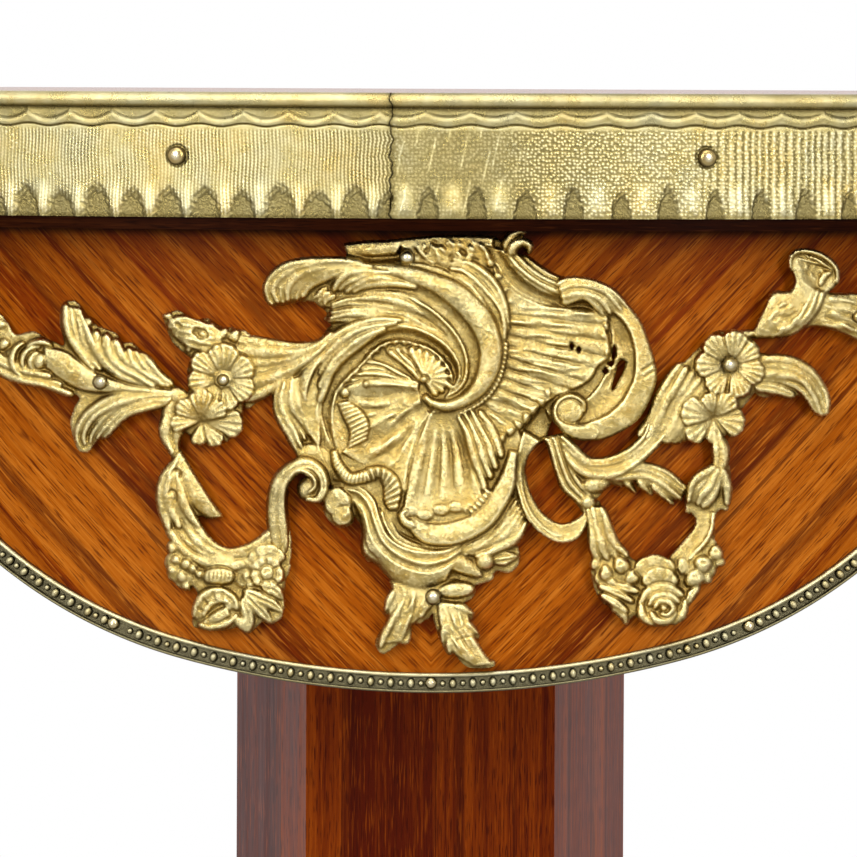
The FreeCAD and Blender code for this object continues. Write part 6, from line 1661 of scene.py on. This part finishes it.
def spray_left_knot(relief):
    """Turned bud and berries of the left spray."""
    for reach, x, y, first, last in ((10.0, 40, 362, 2.0, 4.7), (15.0, 37, 362, 2.4, 5.0),
                                     (19.0, 31, 360, 2.0, 4.4), (20.0, 40, 362, 3.9, 5.4)):
        arc = [(x + reach * math.cos(a), y + reach * math.sin(a)) for a in np.linspace(first, last, 6)]
        strand(relief, arc, [3, 6, 7, 6, 3], [4.0, 4.9, 5.2, 4.9, 4.0], 0.8)
    boss(relief, 39, 361, 7, 9, 6.2, low=4, spin=20)
    boss(relief, 16, 367, 6, 7, 5.4, low=3.6)
    buds(relief, [(4, 344, 8, 4.8), (12, 354, 8, 4.8), (-6, 350, 8, 4.4), (0, 324, 8, 4.0),
                  (-12, 336, 8, 4.0)], low=2.4, lobe=0.14, squash=0.8, twist=33)


def spray_right_leaf(relief):
    """Leaf of the right spray, and the cup of its opening bud."""
    top = [(806, 300), (822, 294), (842, 293), (862, 294), (892, 306), (924, 331)]
    low = [(796, 330), (814, 327), (832, 330), (846, 335), (864, 342), (894, 345), (924, 341)]
    plate(relief, top, low, [4.6, 4.8, 4.6, 4.2, 3.6, 2.6], 0.9, bow=0.7)
    strokes(relief, [(824, 300), (844, 300), (868, 306)],
            [(826, 324), (846, 328), (868, 336)], 4, 8, 0.35, 0.3)
    back = [(752, 334), (757, 322), (763, 310), (769, 298), (780, 292), (791, 290),
            (794, 280), (791, 268), (791, 255)]
    front = [(756, 339), (772, 338), (787, 333), (799, 324), (809, 311), (818, 299),
             (828, 292), (836, 284), (837, 268)]
    plate(relief, back, front, [(3.6, 3.6), (4.8, 4.8), (5.4, 5.6), (5.6, 6.0), (5.6, 6.2), (5.2, 6.0),
                                (4.8, 5.4), (4.6, 4.8), (4.4, 4.4)], 0.7, edge=2.4, over=True)


def open_bud(relief):
    """Mouth of the opening bud."""
    relief.fill([(791, 264), (796, 254), (812, 251), (828, 258), (837, 270), (834, 286),
                 (812, 288), (797, 274)], 4.2)
    plate(relief, [(794, 258), (800, 272), (808, 284), (816, 290)],
          [(834, 270), (834, 278), (830, 286), (824, 292)],
          [(5.0, 4.8), (5.1, 4.9), (5.5, 5.3), (6.0, 5.8)], -0.8, over=True)
    strand(relief, [(790, 270), (791, 257), (799, 251), (814, 252), (828, 259), (837, 270), (837, 284)],
           [3, 4, 5, 5, 5, 5, 4], [4.8, 5.4, 5.9, 6.1, 6.0, 5.6, 4.8], 0.5)
    strand(relief, [(806, 256), (818, 260), (833, 270)], [2, 4, 2], [5.0, 5.3, 5.0], 0.3)
    strand(relief, [(832, 272), (824, 276), (820, 286)], [4, 7, 5], [5.0, 5.2, 5.4], 0.3)
    ruffle(relief, [(798, 258), (804, 270), (812, 282)],
           [(830, 268), (830, 276), (826, 286)], 16, 5, 0.4, 23)


def bud_folds(relief):
    """Folds of the bud's cup, and its stem."""
    strands(relief, [(764, 336), (784, 330), (799, 318), (809, 302), (814, 288)],
            [(776, 338), (794, 331), (808, 319), (818, 305), (824, 291)], 3, [3, 5, 6, 6, 4],
            [4.4, 5.8, 6.6, 6.6, 5.8], 0.7)
    strand(relief, [(736, 336), (750, 334), (764, 334)], [10, 9, 6], [3.2, 3.4, 3.6], 0.6)
    ruffle(relief, [(764, 316), (776, 302), (790, 294)],
           [(774, 336), (792, 326), (802, 312)], 30, 6, 0.5, 12)
    ruffle(relief, [(822, 298), (842, 298), (870, 303)],
           [(816, 322), (844, 330), (870, 340)], 26, 6, 0.5, 13)
    boss(relief, 776, 298, 9, 7, 5.6, low=4.2, spin=-30, flat=0.8)


# Castings: each has its part of the photograph and its forms, in the order they are laid

CASTINGS = {
    "cartouche": ((228, 222, 700, 682), (
        ground, acanthus_head, crest, great_roll, spiral_cove, left_arm, shell_hinge, shell_lobes,
        shell_rim, upper_cove, fan, right_scroll, casting_holes, lower_scroll, side_petal, flowing_bands,
        shell_cup, knot, left_foot, right_foot, foot_folds, loop, branch)),
    "garland_right": ((560, 300, 860, 650), (
        right_ground, right_flowers, right_leaf, right_stem, right_berries, right_rose)),
    "garland_left": ((145, 295, 310, 650), (
        left_buds, left_flowers, left_stem, left_berries, left_rosette, hooded_bud)),
    "spray_left": ((-60, 285, 195, 465), (spray_left_leaves, spray_left_knot)),
    "spray_right": ((735, 235, 950, 365), (spray_right_leaf, open_bud, bud_folds)),
}


def laid(window, forms):
    """Relief with a casting's forms on it."""
    relief = Relief(*window)
    for form in forms:
        form(relief)
    return relief


for node, (window, forms) in CASTINGS.items():
    relief_cast = Casting()
    laid(window, forms).mesh(relief_cast)
    relief_cast.build(node + "_relief", MOUNT_GILT, node, sharp=80.0)


# Round-headed pins

PIN_RINGS, PIN_SIDES = 11, 28
MOUNT_PIN_RISE = 2.6
MOUNT_PINS_PX = [(407, 258, 8.6, 3.8), (433, 597, 8.5, 4.6), (731, 365, 8.6, 5.4), (100, 382, 8.0, 5.4),
                 (223, 380, 6.6, 5.2), (860, 317, 7.6, 4.8)]
BAND_PIN_RADIUS_MM, BAND_PIN_RISE = 2.35, 1.7


def pin_heads(name, node, pins):
    """One piece of pins. pins holds the size, the rise and a function that places (right, down, lift)."""
    cast = Casting()
    out = np.sin(np.linspace(0.04, np.pi / 2, PIN_RINGS))[:, None]
    around = np.linspace(0, 2 * np.pi, PIN_SIDES, endpoint=False)[None]
    for size, rise, place in pins:
        u, v = size * out * np.cos(around), size * out * np.sin(around)
        height = rise * np.sqrt(np.clip(1 - out ** 2, 0, 1)) ** 0.8 + 0 * u
        foot = place(u[-1:], v[-1:], np.full((1, PIN_SIDES), -2.0))
        points = np.concatenate([place(u, v, height).reshape(-1, 3), foot.reshape(-1, 3)])
        # Painted dark reflection round the rim of each head, the top rubbed pale, and painted shade on its
        # foot
        dark = smooth(out, 0.66, 0.94) - 0.7 * (1 - smooth(out, 0.15, 0.55)) + 0 * u
        cast.add(points, np.concatenate([dark.ravel(), np.ones(PIN_SIDES)]),
                 [face[:, ::-1] for face in sweep_faces(PIN_RINGS + 1, PIN_SIDES)])
    cast.build(name, PIN_GILT, node)


def on_mount(x, y, seat):
    """Placing function for a pin at a point of the photo, seated so many mm above the apron."""
    return lambda right, down, lift: on_drum(x + right, y + down, seat + lift)


def on_band(angle):
    """Placing function for a pin of the edge band."""
    return lambda right, down, lift: on_circle(angle + right * MM / BAND_FACE_R, BAND_FACE_R + lift * MM,
                                               BAND_TOP - (PIN_DROP_MM + down) * MM)


pin_heads("mount_pin_heads", "mount_pins",
          [(size, MOUNT_PIN_RISE, on_mount(x, y, seat)) for x, y, size, seat in MOUNT_PINS_PX])
pin_heads("band_pin_heads", "edge_band_pins",
          [(BAND_PIN_RADIUS_MM, BAND_PIN_RISE, on_band(angle)) for angle in BAND_PINS])


# Pale floor

floor_data = bpy.data.meshes.new("floor")
floor_data.from_pydata([(-3, -4, 0), (3, -4, 0), (3, 3, 0), (-3, 3, 0)], [], [(0, 1, 2, 3)])
floor = bpy.data.objects.new("floor", floor_data)
floor_material, floor_tree, floor_shader = new_material("floor_pale")
floor_place = add(floor_tree, "TexCoord").outputs["Object"]
floor_cloud = noise(floor_tree, floor_place, 3.0, 3.0)
floor_colour = ramp(floor_tree, floor_cloud, [(0.3, (0.78, 0.77, 0.75)), (0.7, (0.82, 0.81, 0.80))])
set_sockets(floor_tree, floor_shader, Roughness=0.8, Base_Color=floor_colour)
floor_data.materials.append(floor_material)
bpy.context.collection.objects.link(floor)
